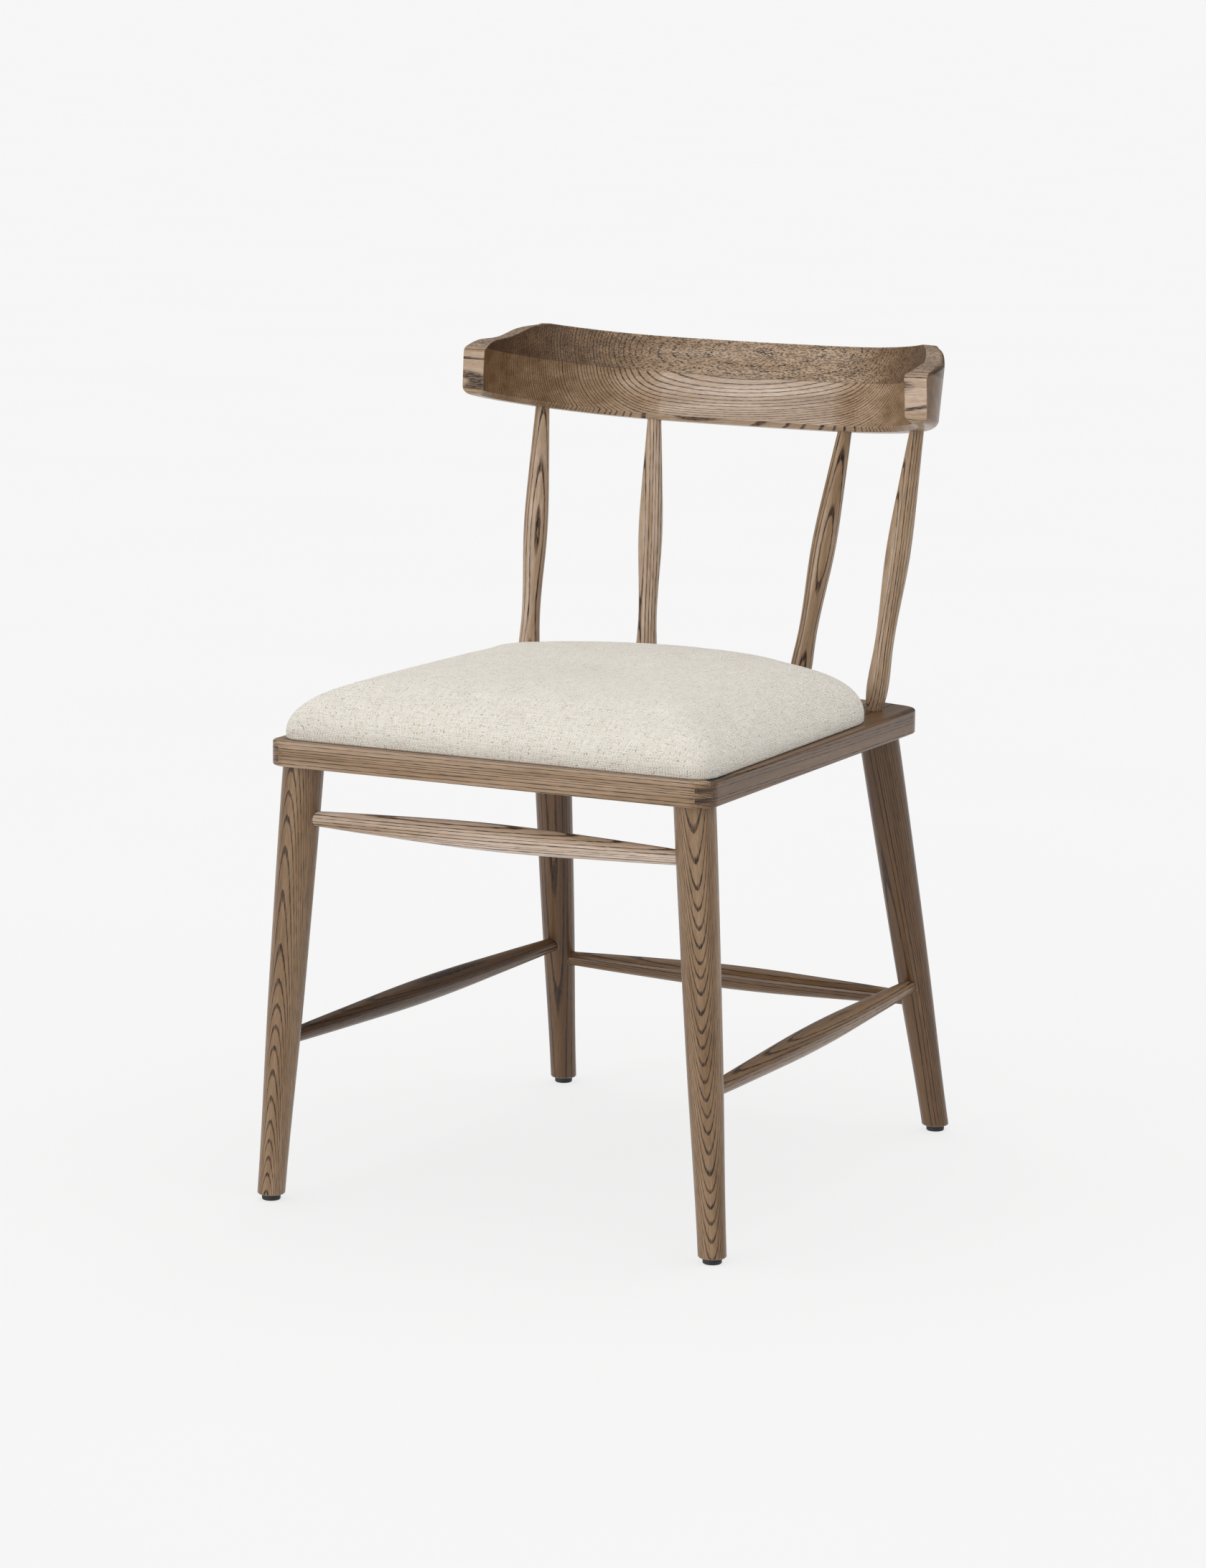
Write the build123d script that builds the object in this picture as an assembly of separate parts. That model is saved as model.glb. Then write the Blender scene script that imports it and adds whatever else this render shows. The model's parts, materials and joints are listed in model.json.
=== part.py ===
from build123d import *
from math import cos, radians, sin, sqrt, tan
import os

# Dining chair: four turned legs, a flat ring of rails, an upholstered seat, four spindles
# and a C-shaped crest rail.  Millimetres, +Z up, the sitter faces -Y.  The origin is on the
# floor, under the middle of the chair's outline.

# ---- seat frame: front, side and back rails in one flat ring -----------------------------
SEAT_FRONT_Y = -298.2       # front edge of the ring; the sizes called _BACK count from here
SEAT_FRONT_HALF = 231.5     # half the width at the front edge
SEAT_REAR_HALF = 225.5      # and at the rear corners
SEAT_DEPTH = 525.5          # front edge to the middle of the bowed back edge
BACK_BOW_R = 750.0
FRAME_BOTTOM_Z = 424.2
FRAME_THICK = 23.6
FRONT_CORNER_R = 20.0
REAR_CORNER_R = 28.0
FRAME_EDGE_R = 2.0
FRONT_RAIL_WIDTH = 50.0
SIDE_RAIL_FRONT_WIDTH = 65.5     # at the front corners
SIDE_RAIL_REAR_WIDTH = 59.5      # and at the rear corners
BACK_RAIL_WIDTH = 94.5      # in the middle of the bowed edge
FINGER_LAYERS = 5
FINGER_REACH = 7.5          # how far the fingers cross the mitre, square to it
GLUE_LINE = 0.1

# ---- legs and glides ---------------------------------------------------------------------
FRONT_LEG_IN = 26.7         # leg axes under the ring, in from its half width
FRONT_LEG_BEHIND = 27.0     # and behind its front edge
FRONT_LEG_SPLAY = 29.5      # the foot, further out
FRONT_LEG_RAKE = 10.8       # and further forward
REAR_LEG_IN = 43.6
REAR_LEG_BEFORE = 41.2      # in front of the ring's back edge
REAR_LEG_SPLAY = 30.4
REAR_LEG_RAKE = 95.9        # the foot, further back
LEG_FOOT_R = 13.3
LEG_LOW_R = 16.2
LEG_HIGH_R = 18.5
LEG_TOP_R = 19.5
LEG_SHAPE = ((0.0, LEG_FOOT_R), (0.345, LEG_LOW_R), (0.705, LEG_HIGH_R), (1.0, LEG_TOP_R))
LEG_OVERRUN = 14.0          # turned beyond both ends, then cut level
LEG_FOOT_EDGE = 1.0
LEG_TENON_R = 11.0
LEG_TENON_LENGTH = 16.0
TENON_FIT = 0.2             # radial room round every round tenon
SOCKET_ROOM = 0.5           # room beyond the end of every tenon
GLIDE_R = 9.0
GLIDE_THICK = 6.0
GLIDE_EDGE_R = 1.5
GLIDE_PIN_R = 2.0
GLIDE_PIN_LENGTH = 15.0
GLIDE_PIN_FIT = 0.1

# ---- stretchers --------------------------------------------------------------------------
FRONT_STRETCHER_Z = 372.9
SIDE_STRETCHER_Z = 157.1
REAR_STRETCHER_Z = 140.8
STRETCHER_END_R = 7.25
FRONT_STRETCHER_MID_R = 13.0
LOW_STRETCHER_MID_R = 12.4
STRETCHER_SWELL_START = 21.0     # plain length from the leg axis
STRETCHER_STOP = 3.0             # end of the tenon, short of the leg axis
SWELL_SHAPE = ((0.165, 0.36), (0.26, 0.60), (0.38, 0.89))  # share of length, of the swell

# ---- spindles ----------------------------------------------------------------------------
OUTER_SPINDLE_IN = 33.6     # axis at the top of the ring, in from its rear half width
OUTER_SPINDLE_BEFORE = 73.4 # and in front of its back edge
INNER_SPINDLE_X = 84.1
INNER_SPINDLE_BEFORE = 22.0
OUTER_SPINDLE_TURN = 47.6   # degrees round the crest's bend where the axes meet it
INNER_SPINDLE_TURN = 8.5    # degrees
SPINDLE_IN_CREST = 12.0     # axis behind the inner face of the crest rail
SPINDLE_FOOT_R = 7.6
SPINDLE_ANKLE_R = 8.7
SPINDLE_LOW_R = 9.6
SPINDLE_BELLY_R = 12.15
SPINDLE_HIGH_R = 10.4
SPINDLE_TOP_R = 7.0
SPINDLE_SHAPE = ((0.02, SPINDLE_ANKLE_R), (0.2, SPINDLE_LOW_R), (0.545, SPINDLE_BELLY_R),
                 (0.76, SPINDLE_HIGH_R), (1.0, SPINDLE_TOP_R))  # share of length, radius
SPINDLE_OVERRUN = 4.0       # turned below the top of the ring, then cut level
SPINDLE_TENON_R = 6.2
SPINDLE_FOOT_TENON = 15.0
SPINDLE_TOP_TENON = 20.0

# ---- crest rail: a bent bar in a plane that leans back with the spindles -----------------
CREST_BEHIND = 29.3         # inner lower edge in the middle, behind the ring's back edge
CREST_Z = 707.2
CREST_TILT = 12.36          # degrees
CREST_THICK = 23.0
CREST_HEIGHT = 84.9
CREST_MIDDLE_R = 1000.0     # radii of the inner face
CREST_SIDE_R = 158.5
CREST_ARM_R = 70.0
CREST_SIDE_TURN = 5.5       # degrees where the next radius takes over
CREST_ARM_TURN = 65.0       # degrees
CREST_LAST_TURN = 106.0     # degrees; the bar runs past its ends, which are cut upright
CREST_REACH = 130.3         # upright ends, in front of the inner lower edge
CREST_RIDGE = 47.4          # height of the crisp line along the inner face
CREST_SCOOP = 7.5           # how far the inner face leans back between the ridge and the top
SCOOP_MARGIN = 10.0         # how far the cut that makes it runs past both
CREST_CHAMFER = 4.5         # along the inner lower edge
CREST_BOTTOM_R = 8.0        # along the outer lower edge
CREST_TOP_R = 4.5           # along the outer top edge
SWOOP_DROP = 41.3           # the top edge falls along the arms, by this much in all
SWOOP_SHAPE = ((44, -0.041), (50, 0.022), (56, 0.155), (62, 0.378), (67, 0.506),
               (76, 0.596), (87, 0.709), (97, 0.855), (106, 1.0))  # degrees, share of drop
SWOOP_SKEW = 2.6            # degrees that it lags on the outside of the margins
SWOOP_MARGIN = 12.0         # how far the cut that makes it stands out round the bar
CREST_END_TOP_R = 7.0
CREST_END_BOTTOM_R = 9.0

# ---- seat cushion ------------------------------------------------------------------------
CUSHION_FRONT_IN = 7.0      # its edge inside the ring's half width at the front
CUSHION_REAR_IN = 9.5       # and where the rear corners begin
CUSHION_BEHIND = 13.5       # behind the ring's front edge
CUSHION_BEFORE = 43.5       # in front of the ring's back edge
CUSHION_FRONT_CORNER_R = 17.0
CUSHION_REAR_CORNER_R = 72.0
CUSHION_REAR_R = 300.0
CUSHION_RISE = 57.0
CUSHION_WALL = 7.0          # upright part of the edge
CROWN_POWER = 5.0           # how far out the crown stays full
CROWN_STEPS = (0.985, 0.95, 0.89, 0.8, 0.66, 0.48, 0.25)
COVER_THICK = 1.2
COVER_ROOM = 0.3
HEM_REACH = 30.0            # how far the hem goes in over the opening
PANEL_THICK = 12.0
PANEL_INSET = 3.5           # from the cushion's outline
DUST_COVER_THICK = 0.8
DUST_COVER_GAP = 4.0        # from its edge to the rails

# ---- corner blocks, screws, dowels -------------------------------------------------------
BLOCK_LEG = 62.0
BLOCK_THICK = 18.0
BLOCK_DROP = 1.3            # top of the block under the top of the ring
SCREW_R = 2.0
SCREW_HEAD_R = 4.0
SCREW_HEAD_THICK = 2.6
SCREW_ROOM = 0.2
SLOT_WIDTH = 1.1
SLOT_DEPTH = 1.2
BLOCK_SCREW_IN = 40.0       # along the rail from the inner corner
BLOCK_SCREW_GRIP = 14.0     # wood between the screw head and the rail
BLOCK_SCREW_BITE = 16.0     # depth in the rail
POCKET_R = 4.8
SEAT_SCREW_IN = 20.0        # from both rails
SEAT_SCREW_BITE = 8.0       # depth in the panel
PIERCE_R = 2.5              # hole in cloth round a screw
DOWEL_R = 4.0
DOWEL_LENGTH = 30.0
DOWEL_FIT = 0.1
DOWEL_BEHIND = 13.0         # the first, behind the back rail's inner edge
DOWEL_APART = 16.0

FAR = 700.0                 # beyond every edge of the chair
JOIN = 5.0                  # how far a tenon runs on inside its own piece
PROUD = 1.0                 # how far a cut runs past the faces that it opens
SMALL = 0.05                # closer than this counts as touching

OPENING_FRONT_HALF = SEAT_FRONT_HALF - SIDE_RAIL_FRONT_WIDTH     # inside the rails
OPENING_REAR_HALF = SEAT_REAR_HALF - SIDE_RAIL_REAR_WIDTH
BACK_RAIL_BACK = SEAT_DEPTH - BACK_RAIL_WIDTH                    # its inner edge
CREST_BACK = SEAT_DEPTH + CREST_BEHIND
CUSHION_FRONT_HALF = SEAT_FRONT_HALF - CUSHION_FRONT_IN
CUSHION_REAR_HALF = SEAT_REAR_HALF - CUSHION_REAR_IN
DOWEL_BACKS = (BACK_RAIL_BACK + DOWEL_BEHIND, BACK_RAIL_BACK + DOWEL_BEHIND + DOWEL_APART)
FRAME_TOP_Z = FRAME_BOTTOM_Z + FRAME_THICK
PANEL_Z = FRAME_TOP_Z + COVER_THICK
BLOCK_TOP_Z = FRAME_TOP_Z - BLOCK_DROP
BLOCK_MID_Z = BLOCK_TOP_Z - BLOCK_THICK / 2
SIDES = {"left": -1, "right": 1}
CORNERS = ("front_left", "front_right", "rear_left", "rear_right")


def back(distance):
    """The y of a point that lies this far behind the front edge of the seat ring."""
    return SEAT_FRONT_Y + distance


def side_of(name):
    """-1 for a name that ends in left, 1 for one that ends in right."""
    return SIDES[name.rsplit("_", 1)[1]]


def leg_axis(corner):
    """The leg's axis: its point at the ring's underside and its point at the glide."""
    s = side_of(corner)
    if corner.startswith("front"):
        x, y = SEAT_FRONT_HALF - FRONT_LEG_IN, back(FRONT_LEG_BEHIND)
        splay, rake = FRONT_LEG_SPLAY, -FRONT_LEG_RAKE
    else:
        x, y = SEAT_REAR_HALF - REAR_LEG_IN, back(SEAT_DEPTH - REAR_LEG_BEFORE)
        splay, rake = REAR_LEG_SPLAY, REAR_LEG_RAKE
    top = Vector(s * x, y, FRAME_BOTTOM_Z)
    return top, Vector(s * (x + splay), y + rake, GLIDE_THICK)


def leg_point(corner, z):
    """The point of a leg's axis at this height."""
    top, foot = leg_axis(corner)
    return foot + (top - foot) * ((z - foot.Z) / (top.Z - foot.Z))


def turned(profile):
    """A solid of revolution on +Z, smooth through (height, radius) pairs."""
    low, high = profile[0][0], profile[-1][0]
    curve = Spline(*[(radius, height) for height, radius in profile])
    outline = curve + Line((profile[-1][1], high), (0, high))
    outline += Line((0, high), (0, low)) + Line((0, low), (profile[0][1], low))
    return revolve(make_face(Plane.XZ * outline), Axis.Z)


def rod(start, end, radius):
    """A plain round bar from one point to another."""
    bar = Cylinder(radius, (end - start).length, align=(Align.CENTER, Align.CENTER, Align.MIN))
    return Plane(origin=start, z_dir=end - start) * bar


def slab(low_z, high_z):
    """Everything between two heights."""
    high = Box(2 * FAR, 2 * FAR, high_z - low_z, align=(Align.CENTER, Align.CENTER, Align.MIN))
    return Pos(0, 0, low_z) * high


def bowed_plan(front_half, rear_half, front_y, rear_y, bow_r, front_r, rear_r):
    """A flat outline with a straight front, slightly converging sides and a bowed rear."""
    corner_y = rear_y - bow_r + sqrt(bow_r ** 2 - rear_half ** 2)
    edge = Polyline((-rear_half, corner_y), (-front_half, front_y), (front_half, front_y),
                    (rear_half, corner_y))
    edge += ThreePointArc((rear_half, corner_y), (0, rear_y), (-rear_half, corner_y))
    plan = make_face(edge)
    plan = fillet([v for v in plan.vertices() if v.Y < front_y + SMALL], front_r)
    return fillet([v for v in plan.vertices() if abs(v.Y - corner_y) < SMALL], rear_r)


# ---- the seat ring -----------------------------------------------------------------------
def ring():
    """The four rails as one rounded ring with a bowed back edge, before it is divided."""
    plan = bowed_plan(SEAT_FRONT_HALF, SEAT_REAR_HALF, SEAT_FRONT_Y, back(SEAT_DEPTH),
                      BACK_BOW_R, FRONT_CORNER_R, REAR_CORNER_R)
    plate = Pos(0, 0, FRAME_BOTTOM_Z) * extrude(plan, FRAME_THICK)
    rims = plate.faces().filter_by(Axis.Z)
    plate = fillet([e for face in rims for e in face.edges()], FRAME_EDGE_R)
    return plate - opening_prism(FRAME_BOTTOM_Z - PROUD, FRAME_TOP_Z + PROUD, 0)


def opening_corner(s, front):
    """A corner of the opening inside the rails, in plan."""
    if front:
        return Vector(s * OPENING_FRONT_HALF, back(FRONT_RAIL_WIDTH))
    return Vector(s * OPENING_REAR_HALF, back(BACK_RAIL_BACK))


def opening_prism(low_z, high_z, inset):
    """The four-sided opening inside the rails, made smaller by an inset."""
    corners = []
    for s, front in ((-1, True), (1, True), (1, False), (-1, False)):
        corner = opening_corner(s, front)
        corners.append((corner.X - s * inset, corner.Y + (inset if front else -inset)))
    plan = make_face(Polyline(*corners, close=True))
    return Pos(0, 0, low_z) * extrude(plan, high_z - low_z)


def mitre_zone(s, front):
    """One side of the stepped mitre at a front corner: the front rail's or the side rail's."""
    outer = Vector(s * SEAT_FRONT_HALF, SEAT_FRONT_Y)
    inner = opening_corner(s, True)
    along = (inner - outer).normalized()
    across = Vector(abs(along.Y) * s, abs(along.X))
    layer = FRAME_THICK / FINGER_LAYERS
    zone = Part()
    for i in range(FINGER_LAYERS):
        step = FINGER_REACH if i % 2 == 0 else -FINGER_REACH
        if front:
            near, far = step - GLUE_LINE / 2, -2 * FAR
        else:
            near, far = step + GLUE_LINE / 2, 2 * FAR
        a, b = outer - along * FAR, outer + along * FAR
        corners = [a + across * near, b + across * near, b + across * far, a + across * far]
        plan = make_face(Polyline(*[(p.X, p.Y) for p in corners], close=True))
        zone += Pos(0, 0, FRAME_BOTTOM_Z + i * layer) * extrude(plan, layer)
    return zone


def ring_sockets():
    """All round holes in the ring: legs, spindles, dowels and block screws."""
    holes = Part()
    for corner in CORNERS:
        top, end = leg_tenon_axis(corner)
        up = (end - top).normalized()
        holes += rod(top - up * LEG_TENON_R, end + up * SOCKET_ROOM, LEG_TENON_R + TENON_FIT)
        for start, stop in block_screw_axes(corner):
            tip = (stop - start).normalized() * SOCKET_ROOM
            holes += rod(start, stop + tip, SCREW_R + SCREW_ROOM)
    for name in SPINDLES:
        foot, top = spindle_axis(name)
        up = (top - foot).normalized()
        end = foot - up * (SPINDLE_FOOT_TENON + SOCKET_ROOM)
        holes += rod(end, foot + up * JOIN, SPINDLE_TENON_R + TENON_FIT)
    for start, stop in dowel_axes():
        room = (stop - start).normalized() * SOCKET_ROOM
        holes += rod(start - room, stop + room, DOWEL_R + DOWEL_FIT)
    return holes


def leg_tenon_axis(corner):
    """The leg tenon's axis, from the ring's underside to the tenon's end in the wood."""
    top, foot = leg_axis(corner)
    return top, top + (top - foot).normalized() * LEG_TENON_LENGTH


def rails():
    """The ring divided: mitred and fingered in front, square joints behind."""
    whole = ring()
    drilled = whole - ring_sockets()
    front = drilled & mitre_zone(-1, True)
    front = front & mitre_zone(1, True)
    box = Box(2 * OPENING_REAR_HALF, FAR, FAR, align=(Align.CENTER, Align.MIN, Align.CENTER))
    back_zone = Pos(0, back(BACK_RAIL_BACK), FRAME_TOP_Z) * box
    made = {"seat_front_rail": front, "seat_back_rail": drilled & back_zone}
    for side, s in SIDES.items():
        near = Pos(s * (FAR + OPENING_REAR_HALF) / 2, 0, 0) * Box(FAR, 2 * FAR, 2 * FAR)
        rail = (drilled & near) & mitre_zone(s, False)
        made[f"seat_{side}_rail"] = rail - back_zone
    return made


# ---- legs, glides, stretchers ------------------------------------------------------------
def leg(corner):
    """A tapered leg cut level at both ends, with a tenon above and its sockets."""
    top, foot = leg_axis(corner)
    length = (top - foot).length
    shape = [(-LEG_OVERRUN, LEG_FOOT_R)] + [(share * length, r) for share, r in LEG_SHAPE]
    shape += [(length + LEG_OVERRUN, LEG_TOP_R)]
    body = Plane(origin=foot, z_dir=top - foot) * turned(shape)
    body = body & slab(GLIDE_THICK, FRAME_BOTTOM_Z)
    body = chamfer(body.edges().group_by(Axis.Z)[0], LEG_FOOT_EDGE)
    start, end = leg_tenon_axis(corner)
    down = (start - end).normalized()
    body += rod(start + down * JOIN, end, LEG_TENON_R)
    body -= rod(foot - Vector(0, 0, PROUD), foot + Vector(0, 0, GLIDE_PIN_LENGTH + SOCKET_ROOM),
                GLIDE_PIN_R + GLIDE_PIN_FIT)
    for a, b, z, _ in STRETCHERS.values():
        if corner in (a, b):
            here = leg_point(corner, z)
            away = (leg_point(b if corner == a else a, z) - here).normalized()
            stop = STRETCHER_STOP - SOCKET_ROOM
            body -= rod(here + away * stop, here + away * FAR, STRETCHER_END_R + TENON_FIT)
    return body


def glide(corner):
    """A round foot with a pin that goes up into the leg."""
    _, foot = leg_axis(corner)
    disc = Cylinder(GLIDE_R, GLIDE_THICK, align=(Align.CENTER, Align.CENTER, Align.MIN))
    disc = fillet(disc.edges().group_by(Axis.Z)[0], GLIDE_EDGE_R)
    pin = Cylinder(GLIDE_PIN_R, GLIDE_PIN_LENGTH, align=(Align.CENTER, Align.CENTER, Align.MIN))
    return Pos(foot.X, foot.Y, 0) * (disc + Pos(0, 0, GLIDE_THICK) * pin)


STRETCHERS = {
    "stretcher_front": ("front_left", "front_right", FRONT_STRETCHER_Z, FRONT_STRETCHER_MID_R),
    "stretcher_left": ("front_left", "rear_left", SIDE_STRETCHER_Z, LOW_STRETCHER_MID_R),
    "stretcher_right": ("front_right", "rear_right", SIDE_STRETCHER_Z, LOW_STRETCHER_MID_R),
    "stretcher_rear": ("rear_left", "rear_right", REAR_STRETCHER_Z, LOW_STRETCHER_MID_R),
}


def stretcher(name):
    """A level turned bar that swells towards its middle; its ends go into two legs."""
    a, b, z, middle_r = STRETCHERS[name]
    start, end = leg_point(a, z), leg_point(b, z)
    length = (end - start).length
    rise = middle_r - STRETCHER_END_R
    half = [(STRETCHER_SWELL_START, STRETCHER_END_R)]
    half += [(share * length, STRETCHER_END_R + swell * rise) for share, swell in SWELL_SHAPE]
    profile = half + [(length / 2, middle_r)] + [(length - h, r) for h, r in half[::-1]]
    bar = turned(profile)
    plain = Cylinder(STRETCHER_END_R, length - 2 * STRETCHER_STOP)
    return Plane(origin=start, z_dir=end - start) * (bar + Pos(0, 0, length / 2) * plain)


# ---- the crest rail ----------------------------------------------------------------------
CREST_PLACE = Pos(0, back(CREST_BACK), CREST_Z) * Rot(-CREST_TILT, 0, 0)
CREST_TURNS = (CREST_SIDE_TURN, CREST_ARM_TURN, CREST_LAST_TURN)


def crest_point(turn, offset):
    """A point of the crest rail's plan in its own leaning plane, x and backwards.

    The turn is the direction of the bend in degrees, 0 in the middle, negative on the left;
    the offset is the distance behind the inner face.
    """
    angle, flip = radians(abs(turn)), -1 if turn < 0 else 1
    x, y, radius = 0.0, -CREST_MIDDLE_R, CREST_MIDDLE_R
    for limit, following in ((CREST_SIDE_TURN, CREST_SIDE_R), (CREST_ARM_TURN, CREST_ARM_R)):
        if abs(turn) > limit:
            x += (radius - following) * sin(radians(limit))
            y += (radius - following) * cos(radians(limit))
            radius = following
    reach = radius + offset
    return flip * (x + reach * sin(angle)), y + reach * cos(angle)


def crest_curve(offset):
    """The inner face's line in plan, moved back by an offset: five arcs, left to right."""
    stops = [-t for t in CREST_TURNS[::-1]] + list(CREST_TURNS)
    curve = Curve()
    for a, b in zip(stops, stops[1:]):
        curve += ThreePointArc(*[crest_point(t, offset) for t in (a, (a + b) / 2, b)])
    return curve


def crest_front_region(offset, height):
    """Everything in front of the inner face, as a flat area at a height."""
    x, y = crest_point(CREST_LAST_TURN, offset)
    edge = crest_curve(offset) + Polyline((x, y), (x, -FAR), (-x, -FAR), (-x, y))
    return Pos(0, 0, height) * make_face(edge)


def crest_swoop(s):
    """Everything above the falling top edge of one arm, level across the rail."""
    sections = []
    high = CREST_HEIGHT + SWOOP_MARGIN
    for turn, share in SWOOP_SHAPE:
        near = crest_point(s * (turn - SWOOP_SKEW), -SWOOP_MARGIN)
        far = crest_point(s * (turn + SWOOP_SKEW), CREST_THICK + SWOOP_MARGIN)
        low = CREST_HEIGHT - share * SWOOP_DROP
        corners = ((*near, low), (*far, low), (*far, high), (*near, high))
        sections.append(make_face(Polyline(*corners, close=True)))
    return loft(sections)


def crest_ends():
    """The room inside the upright ends, which are rounded above and below."""
    tilt = radians(CREST_TILT)
    reach = CREST_REACH / cos(tilt)
    places = [(crest_point(turn, CREST_THICK / 2)[1], CREST_HEIGHT - share * SWOOP_DROP)
              for turn, share in SWOOP_SHAPE[-3:]]
    (clear, _), (y1, z1), (y2, z2) = places
    fall = (z2 - z1) / (y2 - y1)
    end_z = (z1 - fall * (reach + y1)) / (1 + fall * tan(tilt))
    top, low = (-reach - end_z * tan(tilt), end_z), (-reach, 0)
    edge = Polyline((FAR, 0), (FAR, CREST_HEIGHT), (clear, CREST_HEIGHT),
                    (clear, end_z + fall * (clear - top[0])), top, low, close=True)
    side = make_face(edge)
    for (y, z), radius in ((top, CREST_END_TOP_R), (low, CREST_END_BOTTOM_R)):
        side = fillet(side.vertices().sort_by_distance((y, z, 0))[0], radius)
    return extrude(Plane.YZ * side, FAR, both=True)


def crest_edges(bar, line, low, high):
    """Edges of the bar that run above a line in plan, between two heights."""
    found = []
    for edge in bar.edges():
        middle = edge.position_at(0.5)
        beside = line.distance_to(Vertex(middle.X, middle.Y, 0)) > SMALL
        upright = abs(edge.tangent_at(0.5).Z) > cos(radians(30))
        if low - SMALL < middle.Z < high + SMALL and not beside and not upright:
            found.append(edge)
    return found


def crest_body():
    """The crest rail in its own plane: bent bar, swooping top edge, scooped inner face."""
    inner, outer = crest_curve(0), crest_curve(CREST_THICK)
    outline = inner + outer
    for turn in (-CREST_LAST_TURN, CREST_LAST_TURN):
        outline += Line(crest_point(turn, 0), crest_point(turn, CREST_THICK))
    bar = extrude(make_face(outline), CREST_HEIGHT)
    bar = (bar - crest_swoop(-1) - crest_swoop(1)).solid()
    bar = bar.fillet(CREST_BOTTOM_R, crest_edges(bar, outer, 0, 0))
    bar = bar.fillet(CREST_TOP_R, crest_edges(bar, outer, 2 * CREST_BOTTOM_R, CREST_HEIGHT))

    slope = CREST_SCOOP / (CREST_HEIGHT - CREST_RIDGE)
    below = crest_front_region(-SCOOP_MARGIN * slope, CREST_RIDGE - SCOOP_MARGIN)
    above = crest_front_region(CREST_SCOOP + SCOOP_MARGIN * slope, CREST_HEIGHT + SCOOP_MARGIN)
    bar = (bar - loft([below.face(), above.face()], ruled=True)).solid()
    bar = bar.chamfer(CREST_CHAMFER, None, crest_edges(bar, inner, 0, 0))
    return bar & crest_ends()


def crest_rail():
    """The crest rail in place, with the sockets of the four spindles."""
    bar = CREST_PLACE * crest_body()
    for name in SPINDLES:
        foot, top = spindle_axis(name)
        up = (top - foot).normalized()
        socket_end = top + up * (SPINDLE_TOP_TENON + SOCKET_ROOM)
        bar -= rod(top - up * SPINDLE_TOP_TENON, socket_end, SPINDLE_TOP_R + TENON_FIT)
    return bar


# ---- spindles ----------------------------------------------------------------------------
SPINDLES = ("spindle_outer_left", "spindle_inner_left", "spindle_inner_right",
            "spindle_outer_right")


def spindle_axis(name):
    """Where a spindle's axis crosses the top of the ring and the crest's lower face."""
    s = side_of(name)
    outer = "outer" in name
    x = SEAT_REAR_HALF - OUTER_SPINDLE_IN if outer else INNER_SPINDLE_X
    y = back(SEAT_DEPTH - (OUTER_SPINDLE_BEFORE if outer else INNER_SPINDLE_BEFORE))
    turn = OUTER_SPINDLE_TURN if outer else INNER_SPINDLE_TURN
    px, py = crest_point(s * turn, SPINDLE_IN_CREST)
    top = (CREST_PLACE * Pos(px, py, 0)).position
    return Vector(s * x, y, FRAME_TOP_Z), top


def spindle(name):
    """A spindle with its belly above the middle, a foot tenon and a plain upper end."""
    foot, top = spindle_axis(name)
    length = (top - foot).length
    shape = [(-SPINDLE_OVERRUN, SPINDLE_FOOT_R), (0, SPINDLE_FOOT_R)]
    shape += [(share * length, r) for share, r in SPINDLE_SHAPE]
    shaft = Plane(origin=foot, z_dir=top - foot) * turned(shape)
    shaft = shaft - slab(0, FRAME_TOP_Z)
    up = (top - foot).normalized()
    shaft += rod(foot - up * SPINDLE_FOOT_TENON, foot + up * JOIN, SPINDLE_TENON_R)
    return shaft + rod(top - up * SMALL, top + up * SPINDLE_TOP_TENON, SPINDLE_TOP_R)


# ---- seat cushion ------------------------------------------------------------------------
def cushion_plan(inset, share, z):
    """The cushion's outline at a height, drawn in from the edge and shrunk to a share."""
    front_y, rear_y = back(CUSHION_BEHIND), back(SEAT_DEPTH - CUSHION_BEFORE)
    plan = bowed_plan(CUSHION_FRONT_HALF, CUSHION_REAR_HALF, front_y, rear_y,
                      CUSHION_REAR_R, CUSHION_FRONT_CORNER_R, CUSHION_REAR_CORNER_R)
    size = share * (CUSHION_FRONT_HALF - inset) / CUSHION_FRONT_HALF
    middle = (front_y + rear_y) / 2
    return Pos(0, 0, z) * scale(plan, by=(size, size, 1), about=(0, middle, 0))


def cushion_shape(inset):
    """The crowned seat, from the top of the ring to the crown, drawn in by an inset."""
    base, rise = FRAME_TOP_Z + inset, CUSHION_RISE - 2 * inset
    body = extrude(cushion_plan(inset, 1, base), CUSHION_WALL)
    sections = [cushion_plan(inset, 1, base + CUSHION_WALL).face()]
    for share in CROWN_STEPS:
        up = sqrt(1 - share ** CROWN_POWER)
        z = base + CUSHION_WALL + (rise - CUSHION_WALL) * up
        sections.append(cushion_plan(inset, share, z).face())
    return body + loft(sections, ruled=True)


def seat_cover():
    """The fabric: a crowned shell whose hem is turned in under the panel."""
    inside = opening_prism(FRAME_TOP_Z - PROUD, PANEL_Z + PROUD, HEM_REACH)
    cover = cushion_shape(0) - cushion_shape(COVER_THICK) - inside
    return cover - seat_screw_shafts(PIERCE_R)


def seat_foam():
    """The foam between the panel and the fabric."""
    return cushion_shape(COVER_THICK + COVER_ROOM) - slab(0, PANEL_Z + PANEL_THICK)


def seat_panel():
    """The plywood panel that lies on the hem of the fabric, drilled for its screws."""
    panel = extrude(cushion_plan(PANEL_INSET, 1, PANEL_Z), PANEL_THICK)
    return panel - seat_screw_shafts(SCREW_R + SCREW_ROOM)


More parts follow.
